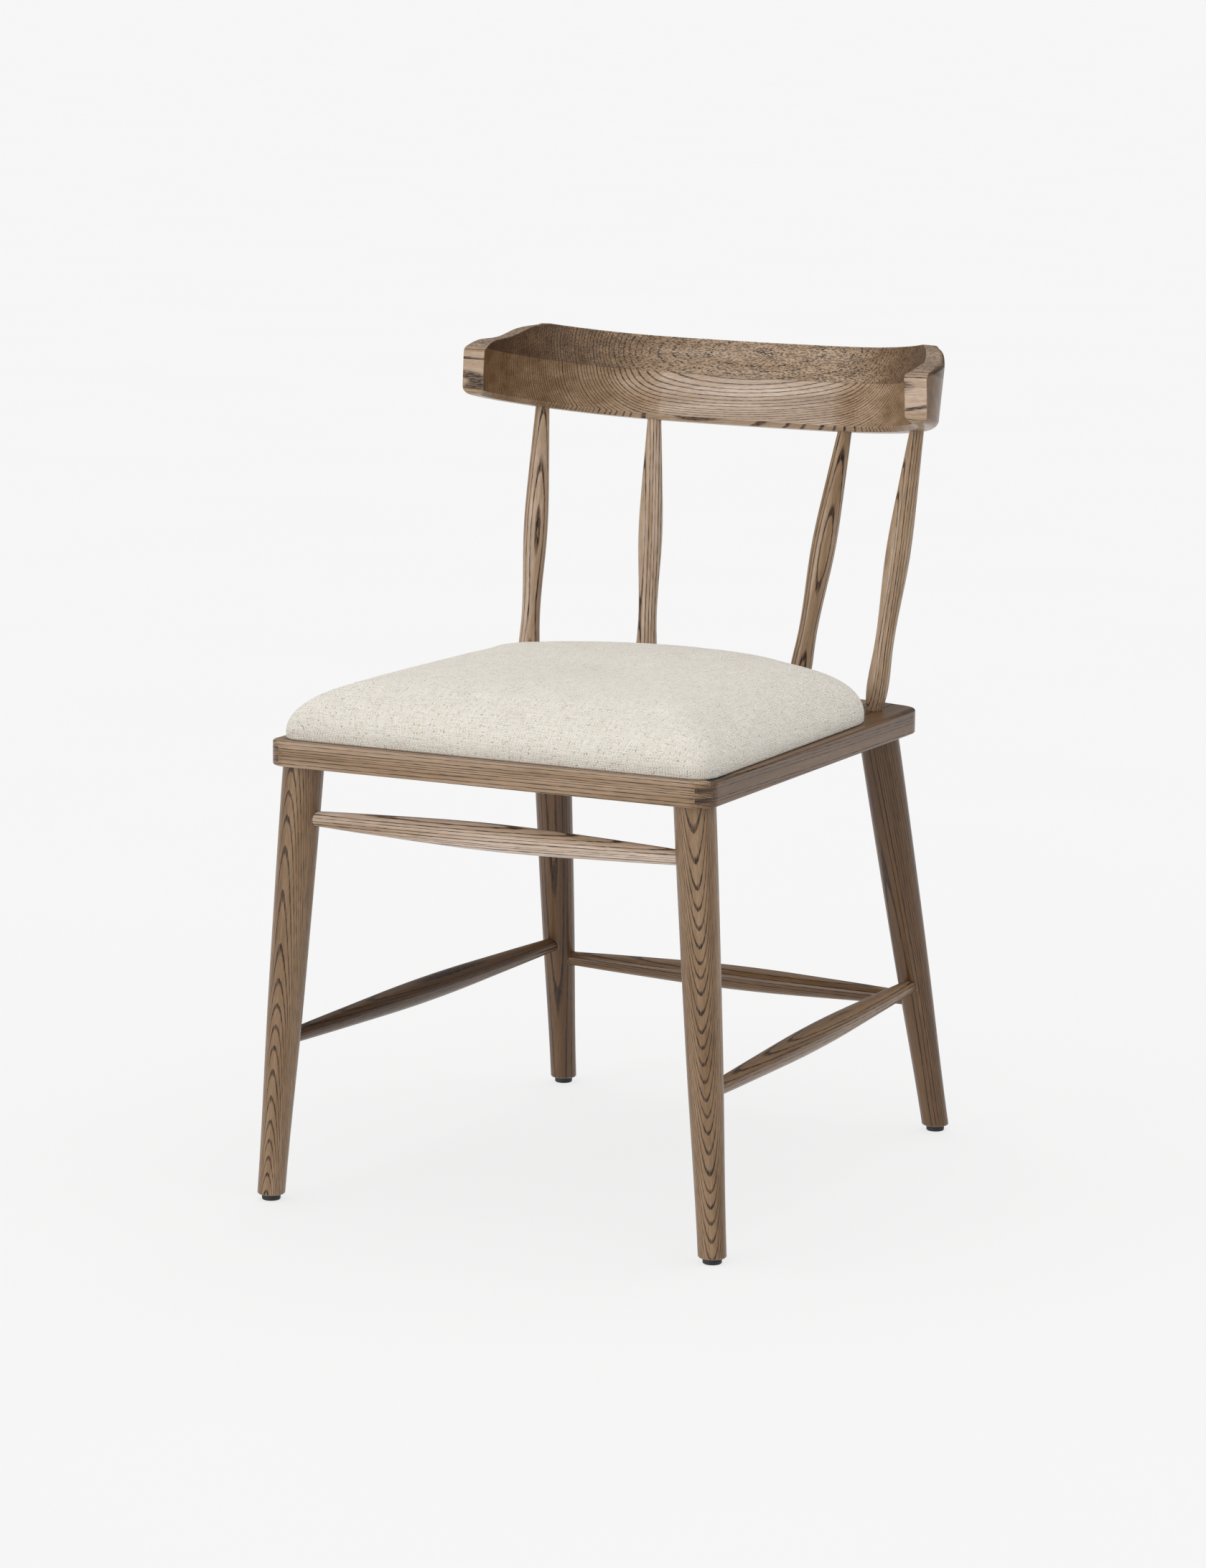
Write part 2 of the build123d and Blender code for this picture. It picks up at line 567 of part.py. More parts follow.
def dust_cover():
    """The thin cloth in the opening under the hem."""
    cloth = opening_prism(FRAME_TOP_Z - DUST_COVER_THICK, FRAME_TOP_Z, DUST_COVER_GAP)
    return cloth - seat_screw_shafts(PIERCE_R)


# ---- blocks, screws, dowels --------------------------------------------------------------
def inner_corner(corner):
    """The corner of the opening between two rails, and the directions along both rails."""
    s = side_of(corner)
    front = corner.startswith("front")
    here, other = opening_corner(s, front), opening_corner(s, not front)
    return here, Vector(-s, 0, 0), (other - here).normalized()


def corner_block(corner):
    """A triangular block with pockets for two rail screws and a hole for a seat screw."""
    origin, across, along = inner_corner(corner)
    points = (origin, origin + across * BLOCK_LEG, origin + along * BLOCK_LEG)
    plan = make_face(Polyline(*[(p.X, p.Y) for p in points], close=True))
    block = Pos(0, 0, BLOCK_TOP_Z - BLOCK_THICK) * extrude(plan, BLOCK_THICK)
    for start, stop in block_screw_axes(corner):
        out = (start - stop).normalized()
        block -= rod(start + out, stop, SCREW_R + SCREW_ROOM)
        block -= rod(start, start + out * BLOCK_LEG, POCKET_R)
    return block - seat_screw_shafts(SCREW_R + SCREW_ROOM)


def block_screw_axes(corner):
    """The two screws of a block, each from under its head to its tip in a rail."""
    origin, across, along = inner_corner(corner)
    level = Vector(0, 0, BLOCK_MID_Z)
    axes = []
    for reach, inward in ((along, across), (across, along)):
        face = origin + level + reach * BLOCK_SCREW_IN
        axes.append((face + inward * BLOCK_SCREW_GRIP, face - inward * BLOCK_SCREW_BITE))
    return axes


def screw(start, stop):
    """A slotted screw: a low round head on the start point, the shaft down to the tip."""
    out = (start - stop).normalized()
    head = Cylinder(SCREW_HEAD_R, SCREW_HEAD_THICK, align=(Align.CENTER, Align.CENTER, Align.MIN))
    head = fillet(head.edges().group_by(Axis.Z)[-1], SCREW_HEAD_THICK * 0.4)
    head -= Pos(0, 0, SCREW_HEAD_THICK) * Box(3 * SCREW_HEAD_R, SLOT_WIDTH, 2 * SLOT_DEPTH)
    return Plane(origin=start, z_dir=out) * head + rod(start + out * 0.5, stop, SCREW_R)


def block_screws():
    """The eight screws that hold the corner blocks to the rails."""
    return Compound(children=[
        screw(*axis).solid() for corner in CORNERS for axis in block_screw_axes(corner)])


def seat_screw_axes():
    """The four upright screws, each from under its head to its tip in the panel."""
    axes = []
    for corner in CORNERS:
        origin, across, along = inner_corner(corner)
        foot = origin + (across + along) * SEAT_SCREW_IN
        axes.append((foot + Vector(0, 0, BLOCK_TOP_Z - BLOCK_THICK),
                     foot + Vector(0, 0, PANEL_Z + SEAT_SCREW_BITE)))
    return axes


def seat_screw_shafts(radius):
    """The room that the upright screws need in each piece that they pass."""
    room = Vector(0, 0, SOCKET_ROOM)
    shafts = Part()
    for start, stop in seat_screw_axes():
        shafts += rod(start - room, stop + room, radius)
    return shafts


def seat_screws():
    """The four screws that pull the seat down onto the corner blocks."""
    return Compound(children=[screw(*axis).solid() for axis in seat_screw_axes()])


def dowel_axes():
    """The dowels across the joints between the side rails and the back rail."""
    axes = []
    for s in SIDES.values():
        for distance in DOWEL_BACKS:
            middle = Vector(s * OPENING_REAR_HALF, back(distance), FRAME_BOTTOM_Z + FRAME_THICK / 2)
            half = Vector(DOWEL_LENGTH / 2, 0, 0)
            axes.append((middle - half, middle + half))
    return axes


def rail_dowels():
    """The four dowels."""
    return Compound(children=[rod(a, b, DOWEL_R).solid() for a, b in dowel_axes()])


def main():
    """Builds every piece and writes it to its own file."""
    pieces = dict(rails())
    for corner in CORNERS:
        pieces[f"leg_{corner}"] = leg(corner)
        pieces[f"glide_{corner}"] = glide(corner)
        pieces[f"corner_block_{corner}"] = corner_block(corner)
    for name in STRETCHERS:
        pieces[name] = stretcher(name)
    for name in SPINDLES:
        pieces[name] = spindle(name)
    pieces["crest_rail"] = crest_rail()
    pieces["seat_cover"] = seat_cover()
    pieces["seat_foam"] = seat_foam()
    pieces["seat_panel"] = seat_panel()
    pieces["dust_cover"] = dust_cover()
    pieces["block_screws"] = block_screws()
    pieces["seat_screws"] = seat_screws()
    pieces["rail_dowels"] = rail_dowels()
    os.makedirs("parts", exist_ok=True)
    for name, piece in pieces.items():
        export_step(piece, f"parts/{name}.step")


main()
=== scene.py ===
"""Looks of a wooden dining chair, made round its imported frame.

Lengths are in metres and places in the frame's own axes: +Z is up and the sitter faces -Y.
"""

import json
import logging
import math
from collections.abc import Callable, Sequence
from dataclasses import dataclass, field
from enum import Enum
from typing import Any

import bpy
import numpy as np
from mathutils import Euler, Matrix, Vector

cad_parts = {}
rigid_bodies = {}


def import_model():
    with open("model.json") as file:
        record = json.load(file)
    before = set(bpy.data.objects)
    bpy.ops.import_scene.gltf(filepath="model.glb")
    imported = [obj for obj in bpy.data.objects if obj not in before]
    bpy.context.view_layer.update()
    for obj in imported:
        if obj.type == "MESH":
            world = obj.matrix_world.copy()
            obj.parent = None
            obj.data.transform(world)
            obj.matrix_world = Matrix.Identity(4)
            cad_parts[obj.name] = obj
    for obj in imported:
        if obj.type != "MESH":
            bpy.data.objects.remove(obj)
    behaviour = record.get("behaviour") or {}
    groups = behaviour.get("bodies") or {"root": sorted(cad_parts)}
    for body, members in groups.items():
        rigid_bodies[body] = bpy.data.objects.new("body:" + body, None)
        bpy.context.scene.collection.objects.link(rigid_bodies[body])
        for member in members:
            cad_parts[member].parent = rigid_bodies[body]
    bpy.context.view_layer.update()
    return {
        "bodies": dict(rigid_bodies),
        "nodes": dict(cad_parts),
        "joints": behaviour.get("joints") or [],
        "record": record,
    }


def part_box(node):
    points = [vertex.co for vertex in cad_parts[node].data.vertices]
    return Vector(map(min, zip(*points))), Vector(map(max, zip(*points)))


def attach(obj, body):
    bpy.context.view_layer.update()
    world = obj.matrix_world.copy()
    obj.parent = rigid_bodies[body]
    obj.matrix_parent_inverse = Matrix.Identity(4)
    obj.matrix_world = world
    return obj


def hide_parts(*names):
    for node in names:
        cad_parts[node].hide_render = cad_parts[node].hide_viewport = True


LOG = logging.getLogger("dining_chair")

Colour = tuple[float, float, float, float]
Triple = tuple[float, float, float]
Socket = bpy.types.NodeSocket
Number = float | Socket

BODY = "root"
RIGHT, BACK = Vector((1, 0, 0)), Vector((0, 1, 0))


def tone(red: int, green: int, blue: int) -> Colour:
    """Turn a colour chart value into the linear colour a shader takes.

    Args:
        red: Red, 0 to 255.
        green: Green, 0 to 255.
        blue: Blue, 0 to 255.

    Returns:
        The linear colour with full alpha.
    """
    share = [c / 255 for c in (red, green, blue)]
    linear = [c / 12.92 if c <= 0.04045 else ((c + 0.055) / 1.055) ** 2.4 for c in share]
    return (linear[0], linear[1], linear[2], 1.0)


# ---- wiring shader nodes -----------------------------------------------------------------
class Graph:
    """A shader node tree that is wired with short calls."""

    def __init__(self, tree: bpy.types.NodeTree) -> None:
        """Wrap a tree."""
        self.tree = tree

    def put(self, socket: Socket, value: Any) -> None:
        """Link a socket to another one, or give it a plain value.

        Args:
            socket: The input to fill.
            value: An output socket, a number, a vector or a colour.
        """
        if isinstance(value, bpy.types.NodeSocket):
            self.tree.links.new(value, socket)
        else:
            socket.default_value = value

    def fill(self, node: bpy.types.Node, **values: Any) -> None:
        """Fill a node's inputs.

        Args:
            node: The node.
            **values: Its inputs by name, with underscores for spaces.
        """
        for name, value in values.items():
            self.put(node.inputs[name.replace("_", " ")], value)

    def add(self, kind: str, inputs: dict[int | str, Any] | None = None,
            **settings: Any) -> bpy.types.Node:
        """Add a node.

        Args:
            kind: The node's type name.
            inputs: Values or links by input name or number.
            **settings: Attributes of the node.

        Returns:
            The new node.
        """
        node = self.tree.nodes.new(kind)
        for name, value in settings.items():
            setattr(node, name, value)
        for key, value in (inputs or {}).items():
            self.put(node.inputs[key], value)
        return node

    def here(self) -> Socket:
        """Return the place on the piece, in metres."""
        return self.add("ShaderNodeTexCoord").outputs["Object"]

    def normal(self) -> Socket:
        """Return the direction that the surface faces."""
        return self.add("ShaderNodeNewGeometry").outputs["Normal"]

    def math(self, operation: str, *values: Number, clamp: bool = False) -> Socket:
        """Work out a number from others with one Math node.

        Args:
            operation: The Math node's operation.
            *values: Its inputs in order.
            clamp: Whether the result is kept between 0 and 1.

        Returns:
            The result.
        """
        node = self.add("ShaderNodeMath", dict(enumerate(values)), operation=operation)
        node.use_clamp = clamp
        return node.outputs[0]

    def line(self, value: Number, slope: Number, start: Number) -> Socket:
        """Return a value times a slope plus a start."""
        return self.math("MULTIPLY_ADD", value, slope, start)

    def rest(self, share: Number) -> Socket:
        """Return what a share leaves of one."""
        return self.math("SUBTRACT", 1.0, share)

    def vector(self, operation: str, *values: Any) -> Socket:
        """Work out a vector from others with one Vector Math node.

        Args:
            operation: The node's operation.
            *values: Its inputs in order.

        Returns:
            The vector, or the number of an operation that gives one.
        """
        node = self.add("ShaderNodeVectorMath", dict(enumerate(values)), operation=operation)
        return node.outputs[1 if operation in ("LENGTH", "DOT_PRODUCT") else 0]

    def stretch(self, vector: Socket, x: float, y: float, z: float) -> Socket:
        """Multiply a vector's parts by three numbers and return it."""
        return self.vector("MULTIPLY", vector, (x, y, z))

    def parts(self, vector: Socket) -> tuple[Socket, Socket, Socket]:
        """Split a vector into its three numbers and return them."""
        node = self.add("ShaderNodeSeparateXYZ", {0: vector})
        return node.outputs[0], node.outputs[1], node.outputs[2]

    def join(self, x: Number, y: Number, z: Number) -> Socket:
        """Join three numbers into a vector and return it."""
        return self.add("ShaderNodeCombineXYZ", {0: x, 1: y, 2: z}).outputs[0]

    def noise(self, vector: Socket, scale: Number, detail: float = 2.0,
              roughness: float = 0.5) -> Socket:
        """A cloudy random field.

        Args:
            vector: Where it is read.
            scale: Clouds per metre.
            detail: Octaves of finer clouds.
            roughness: How strong the finer clouds are.

        Returns:
            A number from 0 to 1, mostly near 0.5.
        """
        inputs = {"Vector": vector, "Scale": scale, "Detail": detail, "Roughness": roughness}
        return self.add("ShaderNodeTexNoise", inputs).outputs[0]

    def sway(self, vector: Socket, scale: float, roughness: float = 0.5) -> Socket:
        """A cloudy random push.

        Args:
            vector: Where it is read.
            scale: Clouds per metre.
            roughness: How strong the finer clouds are.

        Returns:
            A vector whose parts lie between -0.5 and 0.5.
        """
        inputs = {"Vector": vector, "Scale": scale, "Detail": 2.0, "Roughness": roughness}
        cloud = self.add("ShaderNodeTexNoise", inputs).outputs[1]
        return self.vector("SUBTRACT", cloud, (0.5, 0.5, 0.5))

    def step(self, value: Socket, low: Number, high: Number) -> Socket:
        """A smooth step.

        Args:
            value: The number that is tested.
            low: Where the result is still 0.
            high: Where it has become 1.

        Returns:
            The smooth step of the value.
        """
        inputs = {"Value": value, "From Min": low, "From Max": high}
        node = self.add("ShaderNodeMapRange", inputs, interpolation_type="SMOOTHSTEP")
        return node.outputs[0]

    def mix(self, share: Number, first: Any, second: Any, blend: str = "MIX") -> Socket:
        """Mix two colours.

        Args:
            share: How much of the second colour is used, 0 to 1.
            first: The first colour.
            second: The second colour.
            blend: The Mix node's blend type.

        Returns:
            The mixed colour.
        """
        node = self.add("ShaderNodeMix", data_type="RGBA", blend_type=blend)
        for number, value in ((0, share), (6, first), (7, second)):
            self.put(node.inputs[number], value)
        return node.outputs[2]

    def group(self, tree: bpy.types.NodeTree, **values: Any) -> bpy.types.Node:
        """Place a node group.

        Args:
            tree: The group.
            **values: Its inputs by name, with underscores for spaces.

        Returns:
            The group's node.
        """
        node = self.add("ShaderNodeGroup", node_tree=tree)
        self.fill(node, **values)
        return node


# ---- effects that several materials share ------------------------------------------------
class Effect(Enum):
    """Surface effects that are built once, each as a node group of this name."""

    GRAIN = "Timber grain"
    EDGES = "Softened edges"
    WEAVE = "Plain weave"


def effect_tree(kind: Effect, inputs: Sequence[tuple[str, str]],
                outputs: Sequence[tuple[str, str]]) -> tuple[Graph, bpy.types.Node, bpy.types.Node]:
    """Start a node group.

    Args:
        kind: Which effect the group makes.
        inputs: Names and kinds of its inputs.
        outputs: Names and kinds of its outputs.

    Returns:
        The group's graph, its input node and its output node.
    """
    tree = bpy.data.node_groups.new(kind.value, "ShaderNodeTree")
    for way, sockets in (("INPUT", inputs), ("OUTPUT", outputs)):
        for name, socket in sockets:
            tree.interface.new_socket(name, in_out=way, socket_type="NodeSocket" + socket)
    graph = Graph(tree)
    return graph, graph.add("NodeGroupInput"), graph.add("NodeGroupOutput")


def grain_effect() -> bpy.types.NodeTree:
    """Build the grain of ring-porous timber.

    The growth rings are tubes round the pith, so a ring's number is the distance from the
    pith over the ring width. Slow noise bends the tubes, and noise along the radius makes
    some rings wider than others. Each ring starts with a band of open pores that fades out
    in its second half. The pores are specks of noise drawn out along the grain; Scatter says
    how many of them lie outside the bands, and Shortness how short they are. Fibres and
    streaks are the same noise, finer and coarser.

    Returns:
        The node group. Its Place input is in metres, with Z along the grain and the pith at 0.
    """
    # Width over length of each kind of mark: the smaller, the further it runs with the grain.
    bend_short, gap_short, streak_short, fibre_short = 0.16, 0.3, 0.035, 0.02
    unevenness = 2.4        # rings by which noise shifts a ring's number
    band_starts = 0.06      # share of a ring in which its band sets in
    band_fades = 0.45       # share of the band after which it fades
    gap_depth = 0.22        # how far gaps thin the pores out
    fibre_height = 0.25     # height of a fibre over the depth of a pore
    graph, given, out = effect_tree(
        Effect.GRAIN,
        [("Place", "Vector"), ("Ring width", "Float"), ("Wander", "Float"),
         ("Band", "Float"), ("Pore size", "Float"), ("Scatter", "Float"),
         ("Shortness", "Float")],
        [("Early", "Float"), ("Pores", "Float"), ("Streaks", "Float"), ("Fibres", "Float"),
         ("Height", "Float")])
    place = given.outputs["Place"]
    push = graph.sway(graph.stretch(place, 1, 1, bend_short), scale=11.0, roughness=0.42)
    push = graph.add("ShaderNodeVectorMath", {0: push, 3: given.outputs["Wander"]},
                     operation="SCALE").outputs[0]
    far = graph.vector("LENGTH", graph.stretch(graph.vector("ADD", place, push), 1, 1, 0))
    uneven = graph.add("ShaderNodeTexNoise", {"W": far, "Scale": 75.0, "Detail": 2.0},
                       noise_dimensions="1D").outputs[0]
    number = graph.math("DIVIDE", far, given.outputs["Ring width"])
    phase = graph.math("FRACT", graph.line(uneven, unevenness, number))
    band = given.outputs["Band"]
    fade = graph.rest(graph.step(phase, graph.math("MULTIPLY", band, band_fades), band))
    early = graph.math("MULTIPLY", graph.step(phase, 0.0, band_starts), fade)

    x, y, z = graph.parts(place)
    short = graph.join(x, y, graph.math("MULTIPLY", z, given.outputs["Shortness"]))
    per_metre = graph.math("DIVIDE", 1.0, given.outputs["Pore size"])
    specks = graph.noise(short, per_metre, detail=1.0)
    gaps = graph.noise(graph.stretch(place, 1, 1, gap_short), scale=210.0, detail=1.0)
    specks = graph.step(graph.line(gaps, gap_depth, specks), low=0.56, high=0.68)
    scatter = given.outputs["Scatter"]
    pores = graph.math("MULTIPLY", specks, graph.line(early, graph.rest(scatter), scatter))
    streaks = graph.noise(graph.stretch(place, 1, 1, streak_short), scale=75.0, detail=3.0,
                          roughness=0.55)
    fibres = graph.noise(graph.stretch(place, 1, 1, fibre_short), scale=900.0, detail=2.0,
                         roughness=0.6)
    height = graph.line(fibres, fibre_height, graph.math("SUBTRACT", 1 - fibre_height, pores))
    graph.fill(out, Early=early, Pores=pores, Streaks=streaks, Fibres=fibres, Height=height)
    return graph.tree


def edges_effect() -> bpy.types.NodeTree:
    """Build the mask of edges that hands and cloths have rubbed, which also carries a painted
    highlight along each edge.

    Near an edge the rounded normal leans away from the true one, so the mask is one minus
    the cosine between them, strengthened and broken up by noise.

    Returns:
        The node group, with the mask and a rounded normal.
    """
    graph, given, out = effect_tree(
        Effect.EDGES, [("Place", "Vector"), ("Strength", "Float")],
        [("Mask", "Float"), ("Normal", "Vector")])
    wide = graph.add("ShaderNodeBevel", {"Radius": 0.0022}, samples=6).outputs[0]
    lean = graph.rest(graph.vector("DOT_PRODUCT", wide, graph.normal()))
    patchy = graph.noise(given.outputs["Place"], scale=130.0, detail=3.0, roughness=0.6)
    mask = graph.math("MULTIPLY", graph.step(lean, low=0.015, high=0.16),
                      graph.line(patchy, slope=1.1, start=0.25))
    mask = graph.math("MULTIPLY", mask, given.outputs["Strength"], clamp=True)
    graph.fill(out, Mask=mask, Normal=wide)
    return graph.tree


def weave_effect() -> bpy.types.NodeTree:
    """Build a plain weave of slubby yarn with darker flecks.

    Along each set of yarns the height is a half sine across the yarn. A yarn is on top where
    the product of both sines is positive, so the two sets take turns. Slubs are noise drawn
    out along the yarn, and flecks are the rare peaks of a finer noise: the higher the Flecks
    input, the less rare they are.

    Returns:
        The node group. Its Place input holds the cloth's own two lengths in metres.
    """
    jitter = 0.0012             # how far yarns stray
    slub_short = 0.07           # width over length of a slub
    fleck_short = 0.35          # and of a fleck
    rarest, common = 0.735, 0.1     # peak that makes a fleck, and how far Flecks lowers it
    sharp = 0.035               # noise between a fleck's rim and its middle
    graph, given, out = effect_tree(
        Effect.WEAVE, [("Place", "Vector"), ("Pitch", "Float"), ("Flecks", "Float")],
        [("Height", "Float"), ("Slubs", "Float"), ("Fleck", "Float"), ("Valley", "Float")])
    place = given.outputs["Place"]
    stray = graph.stretch(graph.sway(place, scale=160.0), jitter, jitter, 0)
    bent = graph.vector("ADD", place, stray)
    turns = graph.math("DIVIDE", math.pi, given.outputs["Pitch"])
    u, v, _ = graph.parts(bent)
    wave_u = graph.math("SINE", graph.math("MULTIPLY", u, turns))
    wave_v = graph.math("SINE", graph.math("MULTIPLY", v, turns))
    over = graph.step(graph.math("MULTIPLY", wave_u, wave_v), low=-0.12, high=0.12)
    side_u, side_v = graph.math("ABSOLUTE", wave_u), graph.math("ABSOLUTE", wave_v)
    height = graph.line(graph.math("SUBTRACT", side_u, side_v), over, side_v)
    warp = graph.noise(graph.stretch(bent, 1, slub_short, 1), scale=620.0)
    weft = graph.noise(graph.stretch(bent, slub_short, 1, 1), scale=620.0)
    slubs = graph.line(graph.math("SUBTRACT", warp, weft), over, weft)
    rim = graph.line(given.outputs["Flecks"], -common, rarest)
    middle = graph.math("ADD", rim, sharp)
    warp_specks = graph.noise(graph.stretch(bent, 1, fleck_short, 1), 640.0, roughness=0.6)
    weft_specks = graph.noise(graph.stretch(bent, fleck_short, 1, 1), 690.0, roughness=0.6)
    fleck = graph.math("MAXIMUM", graph.step(warp_specks, rim, middle),
                       graph.step(weft_specks, rim, middle))
    graph.fill(out, Height=height, Slubs=slubs, Fleck=fleck, Valley=graph.rest(height))
    return graph.tree


BUILDERS: dict[Effect, Callable[[], bpy.types.NodeTree]] = {
    Effect.GRAIN: grain_effect, Effect.EDGES: edges_effect, Effect.WEAVE: weave_effect}


def effect(kind: Effect) -> bpy.types.NodeTree:
    """Return an effect's node group, which is built the first time."""
    return bpy.data.node_groups.get(kind.value) or BUILDERS[kind]()


def new_material(name: str) -> tuple[bpy.types.Material, Graph, bpy.types.Node]:
    """Start a material.

    Args:
        name: The material's name.

    Returns:
        The material, its graph and its shader.
    """
    material = bpy.data.materials.new(name)
    material.use_nodes = True
    graph = Graph(material.node_tree)
    shader = next(n for n in material.node_tree.nodes if n.type == "BSDF_PRINCIPLED")
    return material, graph, shader


@dataclass(frozen=True)
class Span:
    """The box of a CAD node.

    Attributes:
        low: Lowest corner.
        high: Highest corner.
    """

    low: Vector
    high: Vector

    @classmethod
    def of(cls, node: str) -> "Span":
        """Read the box of a node and return it."""
        low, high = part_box(node)
        return cls(low, high)

    @property
    def middle(self) -> Vector:
        """The middle of the box."""
        return (self.low + self.high) / 2


# ---- finishes ----------------------------------------------------------------------------
@dataclass(frozen=True)
class Log:
    """How a piece lies in the timber it was cut from.

    Attributes:
        along: Direction of the grain.
        pith: A point on the pith line.
        ring: Width of a growth ring.
        wander: How far the rings stray from true tubes.
        shortness: Width of a pore over its length.
    """

    along: Vector
    pith: Vector
    ring: float
    wander: float
    shortness: float = 0.06

    def place(self, graph: Graph) -> Socket:
        """Map the piece into the timber: Z along the grain, the pith at 0.

        Args:
            graph: The material's graph.

        Returns:
            The place in the timber.
        """
        up = self.along.normalized()
        side = up.orthogonal().normalized()
        turn = Matrix((side, up.cross(side), up)).transposed().to_euler()
        mapping = graph.add("ShaderNodeMapping", {
            "Vector": graph.here(), "Location": tuple(self.pith), "Rotation": tuple(turn)},
            vector_type="TEXTURE")
        return mapping.outputs[0]


@dataclass(frozen=True)
class Seam:
    """The dark glue lines of the fingers that join two rails at both front corners.

    Attributes:
        outer: Outer end of the mitre, sideways from the middle of the chair.
        inner: Its inner end.
        rail: Width of the front rail.
        reach: How far the fingers cross the mitre.
        fingers: How many fingers there are.
        core: Half the width of a line's dark core.
        end: Half the width at which a line at the fingers' ends has faded.
        face: Half the width at which a line between two fingers has faded.
        dark: How fully a line takes the colour of the pores.
    """

    outer: float = 0.2315
    inner: float = 0.166
    rail: float = 0.05
    reach: float = 0.0075
    fingers: int = 5
    core: float = 0.0002
    end: float = 0.0007
    face: float = 0.0006
    dark: float = 0.8

    def mask(self, graph: Graph) -> Socket:
        """Mark the glue lines.

        The distance across the mitre jumps between plus and minus the reach from finger to
        finger. A point is on a line where it lies there, or between both on a finger's face.

        Args:
            graph: The material's graph.

        Returns:
            Dark on a line and 0 away from it.
        """
        box = Span.of("seat_front_rail")
        layer = (box.high.z - box.low.z) / self.fingers
        run = self.outer - self.inner
        length = math.hypot(run, self.rail)
        offset = (self.outer * self.rail + box.low.y * run) / length
        x, y, z = graph.parts(graph.here())
        across = graph.line(graph.math("ABSOLUTE", x), self.rail / length,
                            graph.line(y, run / length, -offset))
        number = graph.math("DIVIDE", graph.math("SUBTRACT", z, box.low.z), layer)
        odd = graph.math("MODULO", graph.math("FLOOR", number), 2.0)
        jump = graph.line(odd, -2 * self.reach, self.reach)
        near = graph.math("ABSOLUTE", graph.math("SUBTRACT", across, jump))
        ends = graph.rest(graph.step(near, self.core, self.end))
        level = graph.math("ABSOLUTE", graph.math("SUBTRACT", graph.math("FRACT", number), 0.5))
        faces = graph.step(level, 0.5 - self.face / layer, 0.5 - self.core / layer)
        middle = graph.math("ABSOLUTE", graph.math("SUBTRACT", number, self.fingers / 2))
        between = graph.math("MULTIPLY",
                             graph.math("LESS_THAN", graph.math("ABSOLUTE", across), self.reach),
                             graph.math("LESS_THAN", middle, self.fingers / 2 - 0.5))
        lines = graph.math("MAXIMUM", ends, graph.math("MULTIPLY", faces, between))
        return graph.math("MULTIPLY", lines, self.dark)


@dataclass(frozen=True)
class Scoop:
    """A face hollowed across the fibres, above a crisp ridge.

    There the fibres are cut short: more and shorter pores are open, the face is made darker and,
    between the bends, hardly any ring lines show.

    Attributes:
        up: Direction across the ridge.
        level: How far up the ridge lies.
        edge: Half the width over which the hollow sets in.
        scatter: How much more of the pores lies outside the bands.
        shortness: How much shorter the pores are.
        stain: How much darker the hollowed face is made.
        thirst_and_shade: How much more the hollowed face darkens where it faces along the grain, as
            a share of the finish's own such darkening.
        left: Where the ring lines fade on the left.
        right: Where they come back on the right.
        fade: How far they fade.
    """

    up: Vector
    level: float
    edge: float = 0.0005
    scatter: float = 0.5
    shortness: float = 0.14
    stain: float = 0.1
    thirst_and_shade: float = 0.3
    left: tuple[float, float] = (-0.16, -0.1)
    right: tuple[float, float] = (0.12, 0.17)
    fade: float = 0.95

    def mask(self, graph: Graph) -> Socket:
        """Mark the hollowed face and return the mask."""
        height = graph.vector("DOT_PRODUCT", graph.here(), tuple(self.up))
        return graph.step(height, self.level - self.edge, self.level + self.edge)

    def rings(self, graph: Graph, hollow: Socket) -> Socket:
        """Work out how much of the ring lines is left.

        Args:
            graph: The material's graph.
            hollow: The mask of the hollowed face.

        Returns:
            1 where all of them show, less between the bends of the hollowed face.
        """
        x = graph.parts(graph.here())[0]
        flat = graph.math("SUBTRACT", graph.step(x, *self.left), graph.step(x, *self.right))
        return graph.line(graph.math("MULTIPLY", flat, hollow), -self.fade, 1.0)


